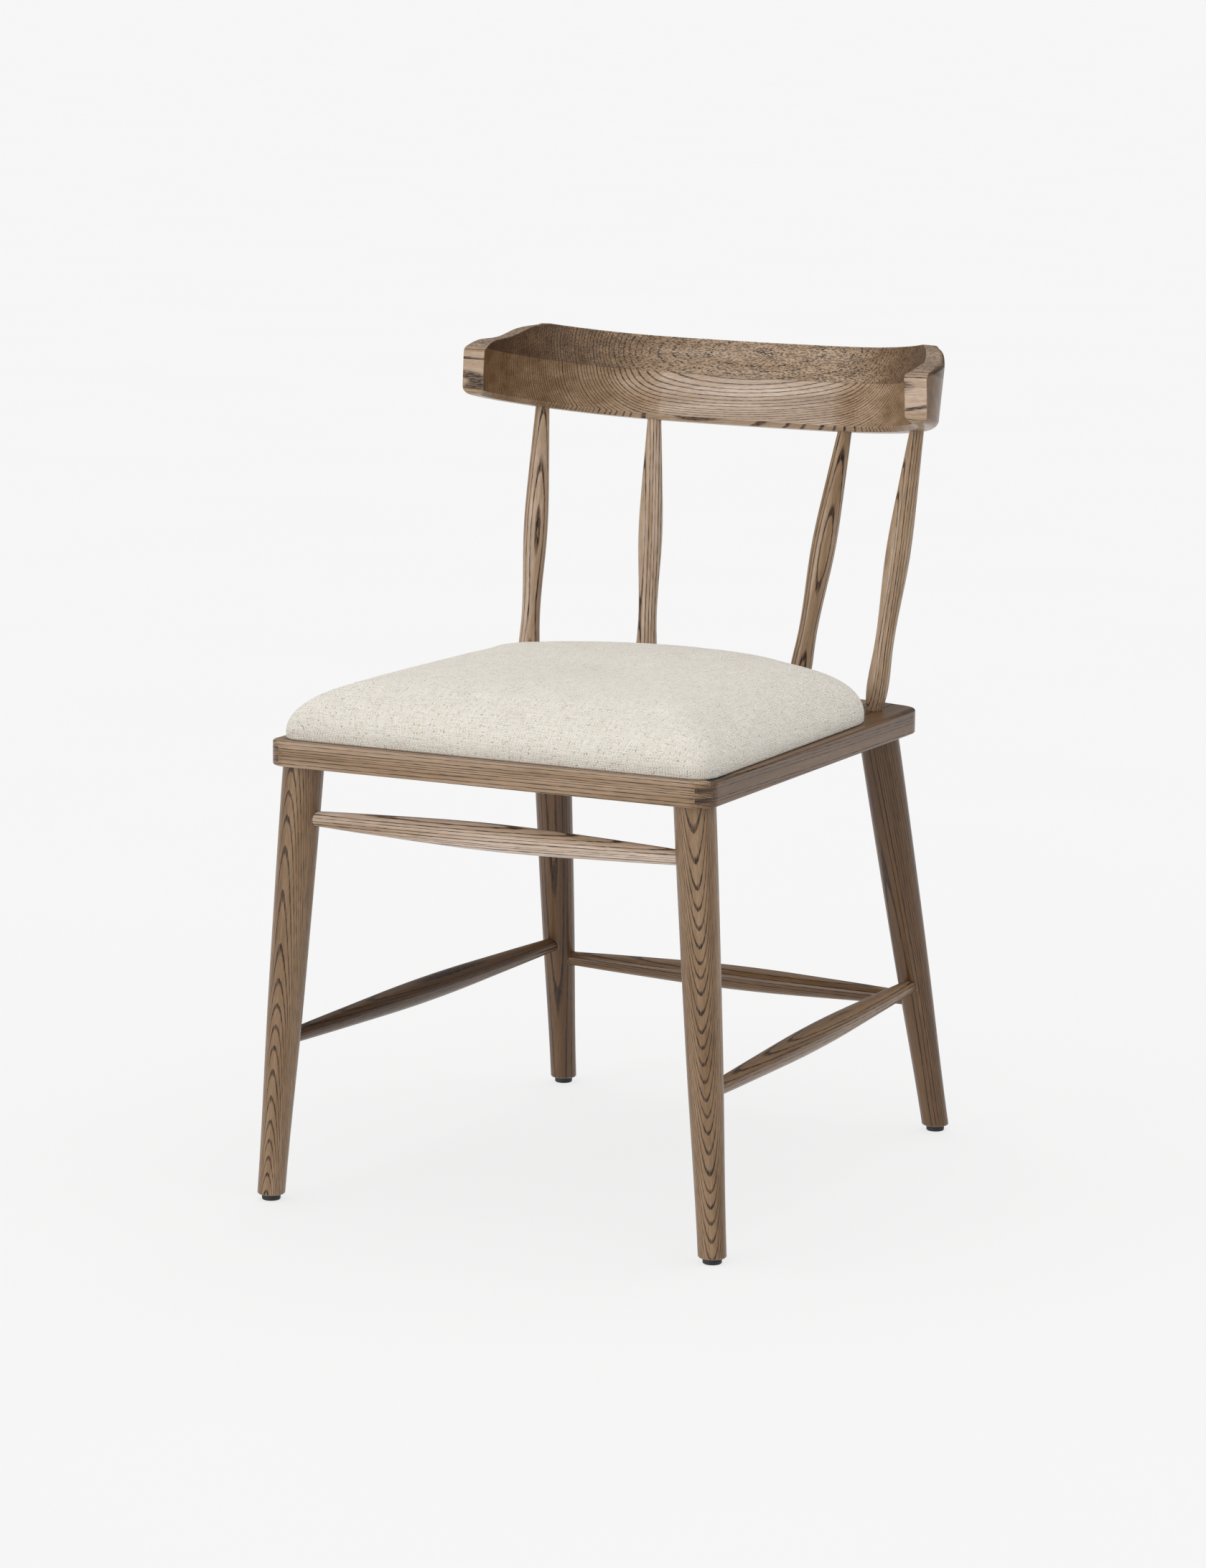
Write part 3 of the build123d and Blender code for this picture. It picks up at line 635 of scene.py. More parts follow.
@dataclass(frozen=True)
class StainedAsh:
    """Ash with a grey-brown stain, dark in its pores, under a satin lacquer.

    Attributes:
        late: Colour of the dense part of a ring.
        early: Colour of the porous part.
        pore: Colour of a filled pore.
        worn_and_highlight: Colour of an edge, partly rubbed, partly a painted highlight.
        band: Share of a ring that is porous.
        contrast: How fully the porous part takes its colour.
        pore_size: Distance between pores.
        scatter: Share of the pores that lie outside the bands.
        filled: How fully a pore takes its colour.
        depth: Depth of the open grain.
        streak: How far streaks lighten and darken the wood.
        fibre: How far single fibres do.
        wear_and_highlight: Strength of the rubbed edges and their painted highlight.
        thirst_and_shade: How much darker a face is made where the grain is cut across: partly stain
            soaked up by end grain, partly painted shade on faces, such as the crest's turned arms,
            that face away from the light.
        darkest: The least light that such a face keeps.
        green: Power of the shade by which green darkens; red follows the shade itself.
        blue: Power by which blue darkens.
        satin: Roughness of the smoothest wood.
        pore_rough: How much rougher a pore is.
        fibre_rough: How much rougher a fibre is.
    """

    late: Colour = tone(158, 132, 106)
    early: Colour = tone(92, 68, 47)
    pore: Colour = tone(30, 19, 12)
    worn_and_highlight: Colour = tone(200, 176, 148)
    band: float = 0.34
    contrast: float = 0.9
    pore_size: float = 0.0009
    scatter: float = 0.15
    filled: float = 0.95
    depth: float = 0.00014
    streak: float = 1.4
    fibre: float = 0.7
    wear_and_highlight: float = 0.7
    thirst_and_shade: float = 0.6
    darkest: float = 0.22
    green: float = 1.3
    blue: float = 1.8
    satin: float = 0.4
    pore_rough: float = 0.22
    fibre_rough: float = 0.12

    def shade(self, graph: Graph, grain: bpy.types.Node, along: Vector, thirst_and_shade: Number,
              light: Number) -> Socket:
        """Work out how far the stain, with painted light and shade, darkens the wood.

        Streaks and fibres vary it round one. A face that is cut across the grain is darker, by the
        cosine between its normal and the grain: partly stain soaked up by end grain, partly painted
        shade where such faces, as on the crest's turned arms, face away from the light.

        Args:
            graph: The material's graph.
            grain: The node of the grain effect.
            along: Direction of the grain.
            thirst_and_shade: How much darker a face is made where the grain is cut across, as end
                grain and as painted shade.
            light: How light the wood is made: the piece's own tone and painted light and shade.

        Returns:
            What the wood's colour is multiplied by.
        """
        streaks, fibres = grain.outputs["Streaks"], grain.outputs["Fibres"]
        varied = graph.line(streaks, self.streak, 1 - self.streak / 2)
        varied = graph.line(fibres, self.fibre, graph.math("SUBTRACT", varied, self.fibre / 2))
        # Darker where the normal runs along the grain: end grain soaking up stain, and painted
        # shade where the crest's arms turn away from the light.
        across = graph.vector("DOT_PRODUCT", graph.normal(), tuple(along.normalized()))
        drunk_and_shaded = graph.math("MULTIPLY", graph.math("ABSOLUTE", across), thirst_and_shade)
        left = graph.math("MAXIMUM", graph.rest(drunk_and_shaded), self.darkest)
        shade = graph.math("MULTIPLY", varied, graph.math("MULTIPLY", left, light))
        return graph.join(shade, graph.math("POWER", shade, self.green),
                          graph.math("POWER", shade, self.blue))

    def material(self, name: str, log: Log, tint: float, scoop: Scoop | None = None,
                 seam: Seam | None = None) -> bpy.types.Material:
        """Make the material of one piece.

        Args:
            name: The material's name.
            log: How the piece lies in its timber.
            tint: How light the wood is made on this piece: its own tone, partly painted light and
                shade.
            scoop: A hollowed face.
            seam: A glued joint that shows as dark lines.

        Returns:
            The material.
        """
        made, graph, shader = new_material(name)
        place = log.place(graph)
        contrast: Number = self.contrast
        scatter: Number = self.scatter
        shortness: Number = log.shortness
        thirst_and_shade: Number = self.thirst_and_shade
        # The tint is the piece's own tone and painted light and shade.
        light: Number = tint
        if scoop:
            hollow = scoop.mask(graph)
            contrast = graph.math("MULTIPLY", scoop.rings(graph, hollow), contrast)
            scatter = graph.line(hollow, scoop.scatter, scatter)
            shortness = graph.line(hollow, scoop.shortness, shortness)
            thirst_and_shade = graph.line(hollow, scoop.thirst_and_shade * thirst_and_shade, thirst_and_shade)
            # The hollowed face is made darker.
            light = graph.line(hollow, -scoop.stain * tint, tint)
        grain = graph.group(effect(Effect.GRAIN), Place=place, Ring_width=log.ring,
                            Wander=log.wander, Band=self.band, Pore_size=self.pore_size,
                            Scatter=scatter, Shortness=shortness)
        edges = graph.group(effect(Effect.EDGES), Place=place, Strength=self.wear_and_highlight)
        pores, fibres = grain.outputs["Pores"], grain.outputs["Fibres"]
        porous = graph.math("MULTIPLY", grain.outputs["Early"], contrast)
        wood = graph.mix(porous, self.late, self.early)
        shade = self.shade(graph, grain, log.along, thirst_and_shade, light)
        wood = graph.mix(1.0, wood, shade, "MULTIPLY")
        # Edges made lighter: partly rubbing, partly a painted highlight.
        wood = graph.mix(edges.outputs["Mask"], wood, self.worn_and_highlight)
        wood = graph.mix(graph.math("MULTIPLY", pores, self.filled), wood, self.pore)
        if seam:
            wood = graph.mix(seam.mask(graph), wood, self.pore)
        rough = graph.line(pores, self.pore_rough, self.satin)
        bump = graph.add("ShaderNodeBump", {
            "Height": grain.outputs["Height"], "Distance": self.depth, "Strength": 0.8,
            "Normal": edges.outputs["Normal"]})
        graph.fill(shader, Base_Color=wood, Normal=bump.outputs[0],
                   Roughness=graph.line(fibres, self.fibre_rough, rough),
                   Specular_IOR_Level=0.2, Coat_Weight=0.5, Coat_Roughness=0.22)
        return made


@dataclass(frozen=True)
class Linen:
    """Off-white linen with brown and grey flecks.

    Attributes:
        yarn: Main colour.
        shade: Colour of the darker slubs, and of the painted shade in the hollows between yarns.
        fleck: Colour of the flecks.
        pitch: Distance between yarns.
        depth: Depth of the weave.
        flecks: How common flecks are.
        slub: How fully a slub takes the darker colour.
        hollow: How fully a hollow takes it, as painted shade.
        speck: How fully a fleck takes its colour.
        patch: How far patches lighten and darken the cloth.
    """

    yarn: Colour = tone(243, 240, 232)
    shade: Colour = tone(206, 196, 180)
    fleck: Colour = tone(112, 90, 70)
    pitch: float = 0.00155
    depth: float = 0.0006
    flecks: float = 1.0
    slub: float = 0.8
    hollow: float = 0.6
    speck: float = 0.65
    patch: float = 0.1

    def material(self, name: str, uv: str) -> bpy.types.Material:
        """Make the cloth.

        Args:
            name: The material's name.
            uv: The UV map that holds the cloth's own lengths.

        Returns:
            The material.
        """
        made, graph, shader = new_material(name)
        place = graph.add("ShaderNodeUVMap", uv_map=uv).outputs[0]
        weave = graph.group(effect(Effect.WEAVE), Place=place, Pitch=self.pitch,
                            Flecks=self.flecks)
        slubs = graph.step(weave.outputs["Slubs"], low=0.35, high=0.75)
        valley, fleck = weave.outputs["Valley"], weave.outputs["Fleck"]
        cloth = graph.mix(graph.math("MULTIPLY", slubs, self.slub), self.yarn, self.shade)
        # Painted shade in the hollows between yarns.
        cloth = graph.mix(graph.math("MULTIPLY", valley, self.hollow), cloth, self.shade)
        patches = graph.noise(place, scale=24.0, detail=3.0, roughness=0.6)
        tint = graph.line(patches, self.patch, 1 - self.patch / 2)
        cloth = graph.mix(1.0, cloth, graph.join(tint, tint, tint), "MULTIPLY")
        cloth = graph.mix(graph.math("MULTIPLY", fleck, self.speck), cloth, self.fleck)
        bump = graph.add("ShaderNodeBump", {
            "Height": weave.outputs["Height"], "Distance": self.depth, "Strength": 0.9})
        graph.fill(shader, Base_Color=cloth, Roughness=graph.line(valley, 0.06, 0.9),
                   Normal=bump.outputs[0], Sheen_Weight=0.25, Sheen_Roughness=0.5,
                   Specular_IOR_Level=0.2)
        return made


@dataclass(frozen=True)
class Speckled:
    """A finish whose colour and polish vary by two sizes of speckle.

    Attributes:
        light: The lighter colour.
        dark: The darker colour.
        coarse: Coarse speckles per metre.
        fine: Fine speckles per metre.
        stretch: Speckle shape along X, Y and Z.
        rough: Middle roughness.
        spread: How far the roughness varies.
        depth: Depth of the fine speckles.
        metal: Metallic share.
    """

    light: Colour
    dark: Colour
    coarse: float
    fine: float
    stretch: Triple = (1.0, 1.0, 1.0)
    rough: float = 0.6
    spread: float = 0.15
    depth: float = 0.00005
    metal: float = 0.0

    def material(self, name: str) -> bpy.types.Material:
        """Make the material.

        The share of the dark colour is the coarse speckles plus half of the fine ones, both
        about their middle.

        Args:
            name: The material's name.

        Returns:
            The material.
        """
        made, graph, shader = new_material(name)
        place = graph.stretch(graph.here(), *self.stretch)
        coarse = graph.noise(place, self.coarse, detail=3.0, roughness=0.55)
        fine = graph.noise(place, self.fine, detail=2.0, roughness=0.6)
        share = graph.line(fine, 0.5, graph.math("SUBTRACT", coarse, 0.25))
        colour = graph.mix(graph.step(share, low=0.3, high=0.7), self.light, self.dark)
        rough = graph.line(fine, 2 * self.spread, self.rough - self.spread)
        bump = graph.add("ShaderNodeBump", {"Height": fine, "Distance": self.depth})
        graph.fill(shader, Base_Color=colour, Roughness=rough, Normal=bump.outputs[0],
                   Metallic=self.metal)
        return made


PLAIN_WOOD = Speckled(tone(203, 180, 146), tone(166, 136, 100), coarse=30.0, fine=700.0,
                      stretch=(1.0, 0.15, 1.0), rough=0.72)
PLYWOOD = Speckled(tone(208, 183, 144), tone(160, 126, 86), coarse=45.0, fine=600.0,
                   stretch=(0.2, 0.6, 7.0), rough=0.75)
FOAM = Speckled(tone(226, 212, 170), tone(200, 182, 136), coarse=60.0, fine=1500.0,
                rough=0.95, spread=0.04, depth=0.0004)
DUST_CLOTH = Speckled(tone(38, 37, 38), tone(16, 16, 17), coarse=180.0, fine=2600.0,
                      stretch=(1.0, 0.5, 1.0), rough=0.9, spread=0.08, depth=0.0003)
GLIDE_BLACK = Speckled(tone(34, 33, 33), tone(20, 20, 20), coarse=90.0, fine=3000.0,
                       rough=0.5, spread=0.1, depth=0.00002)
SCREW_STEEL = Speckled(tone(190, 184, 168), tone(140, 132, 116), coarse=160.0, fine=2500.0,
                       rough=0.36, spread=0.12, depth=0.00001, metal=1.0)


# ---- surfaces ----------------------------------------------------------------------------
def new_mesh(name: str, places: np.ndarray, faces: list[list[int]]) -> bpy.types.Mesh:
    """Make a mesh.

    Args:
        name: The mesh's name.
        places: Its points.
        faces: The numbers of each face's points.

    Returns:
        The mesh.
    """
    mesh = bpy.data.meshes.new(name)
    mesh.from_pydata(places.tolist(), [], faces)
    mesh.update()
    return mesh


def grid_mesh(name: str, points: np.ndarray, cap: np.ndarray) -> bpy.types.Mesh:
    """Make a mesh of quads from a grid of points that goes round.

    Quad (i, j) joins rows i and i + 1 and columns j and j + 1, and the last column joins the
    first. A fan from the cap point closes the first row.

    Args:
        name: The mesh's name.
        points: The grid, as rows, columns and three coordinates.
        cap: The point that closes the first row.

    Returns:
        The mesh.
    """
    rows, columns = points.shape[:2]
    number = np.arange(rows * columns).reshape(rows, columns)
    number = np.concatenate([number, number[:, :1]], axis=1)
    a, b = number[:-1, :-1].ravel(), number[:-1, 1:].ravel()
    c, d = number[1:, 1:].ravel(), number[1:, :-1].ravel()
    quads = np.stack([a, d, c, b], axis=1).tolist()
    first, top = number[0], np.full(columns, rows * columns)
    fan = np.stack([first[:-1], first[1:], top], axis=1).tolist()
    return new_mesh(name, np.concatenate([points.reshape(-1, 3), cap[None]]), quads + fan)


def show(name: str, data: bpy.types.ID) -> bpy.types.Object:
    """Put a mesh, a camera or a light into the scene as a new object.

    Args:
        name: The object's name.
        data: What it shows.

    Returns:
        The object.
    """
    thing = bpy.data.objects.new(name, data)
    bpy.context.scene.collection.objects.link(thing)
    return thing


def add_piece(name: str, mesh: bpy.types.Mesh, material: bpy.types.Material) -> bpy.types.Object:
    """Put a mesh into the scene as a piece that rides on the chair.

    Args:
        name: The piece's name.
        mesh: Its mesh.
        material: Its finish.

    Returns:
        The piece.
    """
    piece = show(name, mesh)
    mesh.materials.append(material)
    mesh.polygons.foreach_set("use_smooth", [True] * len(mesh.polygons))
    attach(piece, BODY)
    LOG.info("%s: %d faces", name, len(mesh.polygons))
    return piece


def dress(node: bpy.types.Object, material: bpy.types.Material) -> None:
    """Give a CAD node its finish.

    Args:
        node: The node's object.
        material: The finish.
    """
    if not node.data.materials:
        node.data.materials.append(material)
    for number in range(len(node.data.materials)):
        node.data.materials[number] = material
    LOG.info("%s dressed in %s", node.name, material.name)


# ---- timber ------------------------------------------------------------------------------
@dataclass(frozen=True)
class Cut:
    """How one piece was sawn from its log.

    Attributes:
        toward: Direction from the piece to the pith.
        distance: How far away the pith is.
        ring: Width of a growth ring.
        wander: How far the rings stray from true tubes.
        tint: How light the wood is made on this piece: partly its own tone, partly painted light
            and shade for how much light reaches it.
        run: How far the grain runs out of the piece's length.
    """

    toward: Triple
    distance: float
    ring: float
    wander: float
    tint: float
    run: Triple = (0.0, 0.0, 0.0)


@dataclass
class TimberParts:
    """Wooden pieces, each sawn from its own place in a log.

    Attributes:
        nodes: The CAD nodes by name.
        finish: The stain and lacquer.
    """

    nodes: dict[str, bpy.types.Object]
    finish: StainedAsh = field(default_factory=StainedAsh)

    def length(self, name: str) -> Vector:
        """The long direction of a piece.

        It is the direction in which the piece's points spread most: the first singular
        vector of the points about their mean.

        Args:
            name: The node.

        Returns:
            The direction, upwards or to the right.
        """
        mesh = self.nodes[name].data
        places = np.empty(len(mesh.vertices) * 3)
        mesh.vertices.foreach_get("co", places)
        places = places.reshape(-1, 3)
        spread = np.linalg.svd(places - places.mean(axis=0), full_matrices=False)[2][0]
        way = Vector(spread)
        return way if way.z + way.x > 0 else -way

    def saw(self, name: str, cut: Cut, length: Vector | None = None,
            seam: Seam | None = None) -> None:
        """Dress one piece as sawn from a log.

        Args:
            name: The node.
            cut: How it was sawn.
            length: Its long direction, if its points don't give it.
            seam: A glued joint that shows.
        """
        if length is None:
            length = self.length(name)
        pith = Span.of(name).middle + Vector(cut.toward).normalized() * cut.distance
        log = Log(length + Vector(cut.run), pith, cut.ring, cut.wander)
        # The tint carries the piece's own tone and painted light and shade.
        finish = self.finish.material("ash_" + name, log, cut.tint, seam=seam)
        dress(self.nodes[name], finish)


@dataclass
class Base(TimberParts):
    """The four legs, their stretchers and their glides.

    The front legs are cut with their pith behind them and the grain a little askew, so that
    their rings show as arches.

    Attributes:
        legs: How each leg was sawn.
        tones_and_painted_light: How light the wood is made on each stretcher: partly its own tone,
            partly painted light and shade, lighter in front and darker at the sides and back.
        lean: How far the grain of the stretchers runs out of their length, up or down.
    """

    # The rear legs' tint is far lower than the front legs': painted shade under the seat, besides
    # their own tone.
    legs: dict[str, Cut] = field(default_factory=lambda: {
        "front_left": Cut(toward=(-0.17, 0.97, 0), distance=0.05, ring=0.00095, wander=0.02,
                          tint=0.72, run=(0.00935, -0.05335, 0)),
        "front_right": Cut(toward=(-0.43, 0.9, 0), distance=0.062, ring=0.0011, wander=0.02,
                           tint=0.71, run=(-0.0215, 0.045, 0)),
        "rear_left": Cut(toward=(0.35, -1, 0), distance=0.074, ring=0.0034, wander=0.02,
                         tint=0.34, run=(0.035, 0.0175, 0)),
        "rear_right": Cut(toward=(-0.35, -1, 0), distance=0.086, ring=0.0028, wander=0.02,
                          tint=0.36, run=(-0.035, -0.0175, 0))})
    tones_and_painted_light: dict[str, float] = field(default_factory=lambda: {
        "front": 1.45, "left": 0.28, "right": 0.6, "rear": 0.46})
    lean: float = 0.018

    def build(self) -> None:
        """Dress the legs, glides and stretchers."""
        plastic = GLIDE_BLACK.material("glide_plastic")
        for corner, cut in self.legs.items():
            self.saw("leg_" + corner, cut)
            dress(self.nodes["glide_" + corner], plastic)
        for number, (part, tint) in enumerate(self.tones_and_painted_light.items()):
            run = (0, 0, self.lean * (-1) ** number)
            cut = Cut(toward=(0.4, -0.3, 1), distance=0.05 + 0.01 * number, ring=0.0028,
                      wander=0.006, tint=tint, run=run)
            self.saw("stretcher_" + part, cut)


@dataclass
class SeatRing(TimberParts):
    """The four rails, their dowels and the blocks in their corners.

    Attributes:
        front: How the front rail was sawn.
        left: How the left rail was sawn.
        right: How the right rail was sawn.
        back: How the back rail was sawn.
    """

    # Each rail's tint is partly its own tone, partly painted shade: the right rail is made much
    # darker, as it stands in shade.
    front: Cut = Cut(toward=(0, 0.2, 1), distance=0.22, ring=0.0029, wander=0.003, tint=0.92,
                     run=(0, 0, 0.004))
    left: Cut = Cut(toward=(-0.3, 0, 1), distance=0.12, ring=0.0045, wander=0.01, tint=0.8,
                    run=(0.02, 0, 0))
    right: Cut = Cut(toward=(0.3, 0, 1), distance=0.11, ring=0.005, wander=0.012, tint=0.37,
                     run=(0, 0, -0.015))
    back: Cut = Cut(toward=(0, 0.8, 1), distance=0.12, ring=0.0032, wander=0.006, tint=0.9)

    def build(self) -> None:
        """Dress the ring."""
        seam = Seam()
        self.saw("seat_front_rail", self.front, RIGHT, seam)
        self.saw("seat_left_rail", self.left, BACK, seam)
        self.saw("seat_right_rail", self.right, BACK, seam)
        self.saw("seat_back_rail", self.back, RIGHT)
        plain = PLAIN_WOOD.material("block_wood")
        for name in sorted(self.nodes):
            if name.startswith("corner_block") or name == "rail_dowels":
                dress(self.nodes[name], plain)


@dataclass
class Back(TimberParts):
    """The four spindles and the crest rail.

    Attributes:
        tones_and_painted_light: How light the wood is made on each spindle, from left to right:
            partly its own tone, partly painted light and shade.
        tilt: How far the crest rail leans back, in degrees.
        foot: The middle of its inner lower edge.
        ridge: Height of its ridge above that edge, along the lean.
        pith: A point of its pith line, from the same edge.
        climb: How far its grain climbs to the right, along the lean.
        crest_tone_and_painted_light: How light the wood is made on it: partly its own tone, partly
            painted light.
    """

    tones_and_painted_light: dict[str, float] = field(default_factory=lambda: {
        "outer_left": 1.16, "inner_left": 1.3, "inner_right": 0.88, "outer_right": 1.03})
    tilt: float = 12.36
    foot: Triple = (0.0, 0.2566, 0.7072)
    ridge: float = 0.0474
    pith: Triple = (-0.12, 0.06742, 0.04466)
    climb: float = 0.05
    crest_tone_and_painted_light: float = 1.22

    def crest(self) -> None:
        """Dress the crest rail.

        Its pith lies behind the face, at about the height of the ridge, so that the rings
        draw long C shapes on the bent face.
        """
        tilt = math.radians(self.tilt)
        up = Vector((0, math.sin(tilt), math.cos(tilt)))
        foot = Vector(self.foot)
        log = Log(RIGHT + self.climb * up, foot + Vector(self.pith), ring=0.0018,
                  wander=0.004, shortness=0.13)
        scoop = Scoop(up, foot.dot(up) + self.ridge)
        finish = self.finish.material("ash_crest_rail", log, self.crest_tone_and_painted_light, scoop)
        dress(self.nodes["crest_rail"], finish)

    def build(self) -> None:
        """Dress the spindles and the crest rail."""
        for number, (part, tint) in enumerate(self.tones_and_painted_light.items()):
            side = (-1) ** number
            cut = Cut(toward=(0.6 * side, -1, 0), distance=0.03 + 0.01 * number, ring=0.0032,
                      wander=0.008, tint=tint, run=(0.02 * side, 0, 0))
            self.saw("spindle_" + part, cut)
        self.crest()


# ---- seat --------------------------------------------------------------------------------
def arc(centre: np.ndarray, radius: float, start: float, stop: float, count: int) -> np.ndarray:
    """Points on an arc: the centre plus the radius at evenly spaced angles.

    Args:
        centre: The arc's centre.
        radius: Its radius.
        start: Its first angle, in radians.
        stop: Its last angle.
        count: How many points there are.

    Returns:
        The points.
    """
    angle = np.linspace(start, stop, count)
    return centre + radius * np.stack([np.cos(angle), np.sin(angle)], axis=1)


@dataclass
class Cushion:
    """The upholstered seat: linen over foam, its hem turned in under the panel.

    Attributes:
        front_half: Half the width at the front.
        rear_half: Half the width where the rear corners begin.
        bow: Radius of the rear edge.
        front_round: Radius of the front corners.
        rear_round: Radius of the rear corners.
        wall: Height of the upright edge.
        turn_in: Radius on which the edge turns in under the panel.
        hem: Width of the hem under the panel.
        lift: How far the hem lies above the ring.
        power: How far out the crown stays full.
        first: Size of the innermost row, as a share of the edge.
        gather: Power by which the rows of the crown crowd towards the edge.
        puff: The furthest that the stuffing lifts the cloth.
        cloth: Thickness of the linen.
        round_count: Columns round the seat.
        crown_count: Rows from the middle to the edge.
        uv: Name of the UV map that holds the cloth's own lengths.
    """

    front_half: float = 0.2245
    rear_half: float = 0.216
    bow: float = 0.3
    front_round: float = 0.017
    rear_round: float = 0.072
    wall: float = 0.007
    turn_in: float = 0.0016
    hem: float = 0.05
    lift: float = 0.00005
    power: float = 5.0
    first: float = 0.06
    gather: float = 2.4
    puff: float = 0.0015
    cloth: float = 0.0011
    round_count: int = 216
    crown_count: int = 40
    uv: str = "weave"

    def outline(self) -> np.ndarray:
        """The edge of the seat in plan.

        The front edge is straight, the sides converge, and the rear edge is an arc. Each
        corner is an arc that touches both edges: its centre lies one radius inside both.

        Returns:
            The points of the edge, evenly spaced, anticlockwise seen from above.
        """
        box = Span.of("seat_cover")
        front, rear = box.low.y, box.high.y
        bow_y = rear - self.bow
        corner_y = bow_y + math.sqrt(self.bow ** 2 - self.rear_half ** 2)
        lean = math.atan2(self.front_half - self.rear_half, corner_y - front)
        out = np.array([math.cos(lean), math.sin(lean)])
        side = np.array([self.front_half, front]) @ out
        near_y = front + self.front_round
        near = np.array([(side - self.front_round - near_y * out[1]) / out[0], near_y])
        aside = side - self.rear_round - bow_y * out[1]
        ahead = math.sqrt((self.bow - self.rear_round) ** 2 - aside ** 2)
        middle = np.array([0, bow_y])
        far = middle + aside * out + ahead * np.array([-out[1], out[0]])
        turn_far = math.atan2(far[1] - bow_y, far[0])
        half = np.concatenate([
            np.array([[0, front]]),
            arc(near, self.front_round, -math.pi / 2, lean, count=40),
            arc(far, self.rear_round, lean, turn_far, count=60),
            arc(middle, self.bow, turn_far, math.pi / 2, count=80)])
        loop = np.concatenate([half, half[-2:0:-1] * [-1, 1], half[:1]])
        length = np.concatenate([[0], np.cumsum(np.linalg.norm(np.diff(loop, axis=0), axis=1))])
        even = np.linspace(0, length[-1], self.round_count, endpoint=False)
        return np.stack([np.interp(even, length, loop[:, k]) for k in (0, 1)], axis=1)

    def skin(self) -> tuple[np.ndarray, np.ndarray, np.ndarray]:
        """The cloth as a grid from the crown to the end of the hem.

        A row is the outline shrunk to a share about the middle. On the crown its height is
        the rise times the square root of one minus the share to a power. The wall is
        upright, turns in on a small radius, and the hem lies flat under the panel.

        Returns:
            The grid, the top point, and how far each row is from the top along the cloth.
        """
        box = Span.of("seat_cover")
        edge = self.outline()
        middle = np.array([0, box.middle.y])
        wall_rows = np.array([0.7, 0.45])
        hem_rows = np.linspace(0.25, 1, 4)
        turn = np.linspace(0, math.pi / 2, 4)
        crown = 1 - (1 - np.linspace(self.first, 1, self.crown_count)) ** self.gather
        rise = box.high.z - box.low.z - self.wall
        bottom = box.low.z + self.lift
        shares = np.concatenate([
            crown, np.ones(len(wall_rows)),
            1 - self.turn_in * (1 - np.cos(turn)) / self.front_half,
            1 - (self.turn_in + hem_rows * self.hem) / self.front_half])
        heights = np.concatenate([
            box.low.z + self.wall + rise * np.sqrt(1 - crown ** self.power),
            box.low.z + self.wall * wall_rows,
            bottom + self.turn_in * (1 - np.sin(turn)),
            np.full(len(hem_rows), bottom)])
        flat = middle + shares[:, None, None] * (edge - middle)[None]
        tall = np.broadcast_to(heights[:, None, None], flat.shape[:2] + (1,))
        top = np.array([*middle, box.high.z])
        steps = np.hypot(np.diff(shares) * self.front_half, np.diff(heights))
        travel = np.concatenate([[shares[0] * self.front_half], steps]).cumsum()
        return np.concatenate([flat, tall], axis=2), top, travel

    def settle(self, piece: bpy.types.Object, held: np.ndarray) -> None:
        """Puff the cloth a little over its foam, as stuffing does.

        A cloth simulation with pressure runs on the linen. Of its result only the movement
        outward is kept, up to the puff, because the foam stops the cloth inward.

        Args:
            piece: The cloth.
            held: Points that stay where they are.
        """
        mesh = piece.data
        start = np.empty(len(mesh.vertices) * 3)
        mesh.vertices.foreach_get("co", start)
        pins = piece.vertex_groups.new(name="held")
        pins.add(held.tolist(), 1.0, "REPLACE")
        cloth = piece.modifiers.new("Cloth", "CLOTH")
        cloth.settings.vertex_group_mass = pins.name
        cloth.settings.use_pressure = True
        cloth.settings.uniform_pressure_force = 4.0
        cloth.settings.effector_weights.gravity = 0.0
        cloth.settings.tension_stiffness = 25.0
        cloth.settings.compression_stiffness = 25.0
        cloth.settings.shear_stiffness = 12.0
        cloth.settings.quality = 6
        scene = bpy.context.scene
        last_frame = 20
        for frame in range(1, last_frame + 1):
            scene.frame_set(frame)
        done = piece.evaluated_get(bpy.context.evaluated_depsgraph_get()).to_mesh()
        moved = np.empty_like(start)
        done.vertices.foreach_get("co", moved)
        scene.frame_set(1)
        piece.modifiers.remove(cloth)
        piece.vertex_groups.remove(pins)
        outward = np.empty_like(start)
        mesh.vertices.foreach_get("normal", outward)
        outward = outward.reshape(-1, 3)
        rose = ((moved - start).reshape(-1, 3) * outward).sum(axis=1, keepdims=True)
        push = outward * np.clip(rose, 0, self.puff)
        mesh.vertices.foreach_set("co", (start.reshape(-1, 3) + push).ravel())
        mesh.update()
        LOG.info("linen rose %.2f to %.2f mm", 1000 * rose.min(), 1000 * rose.max())

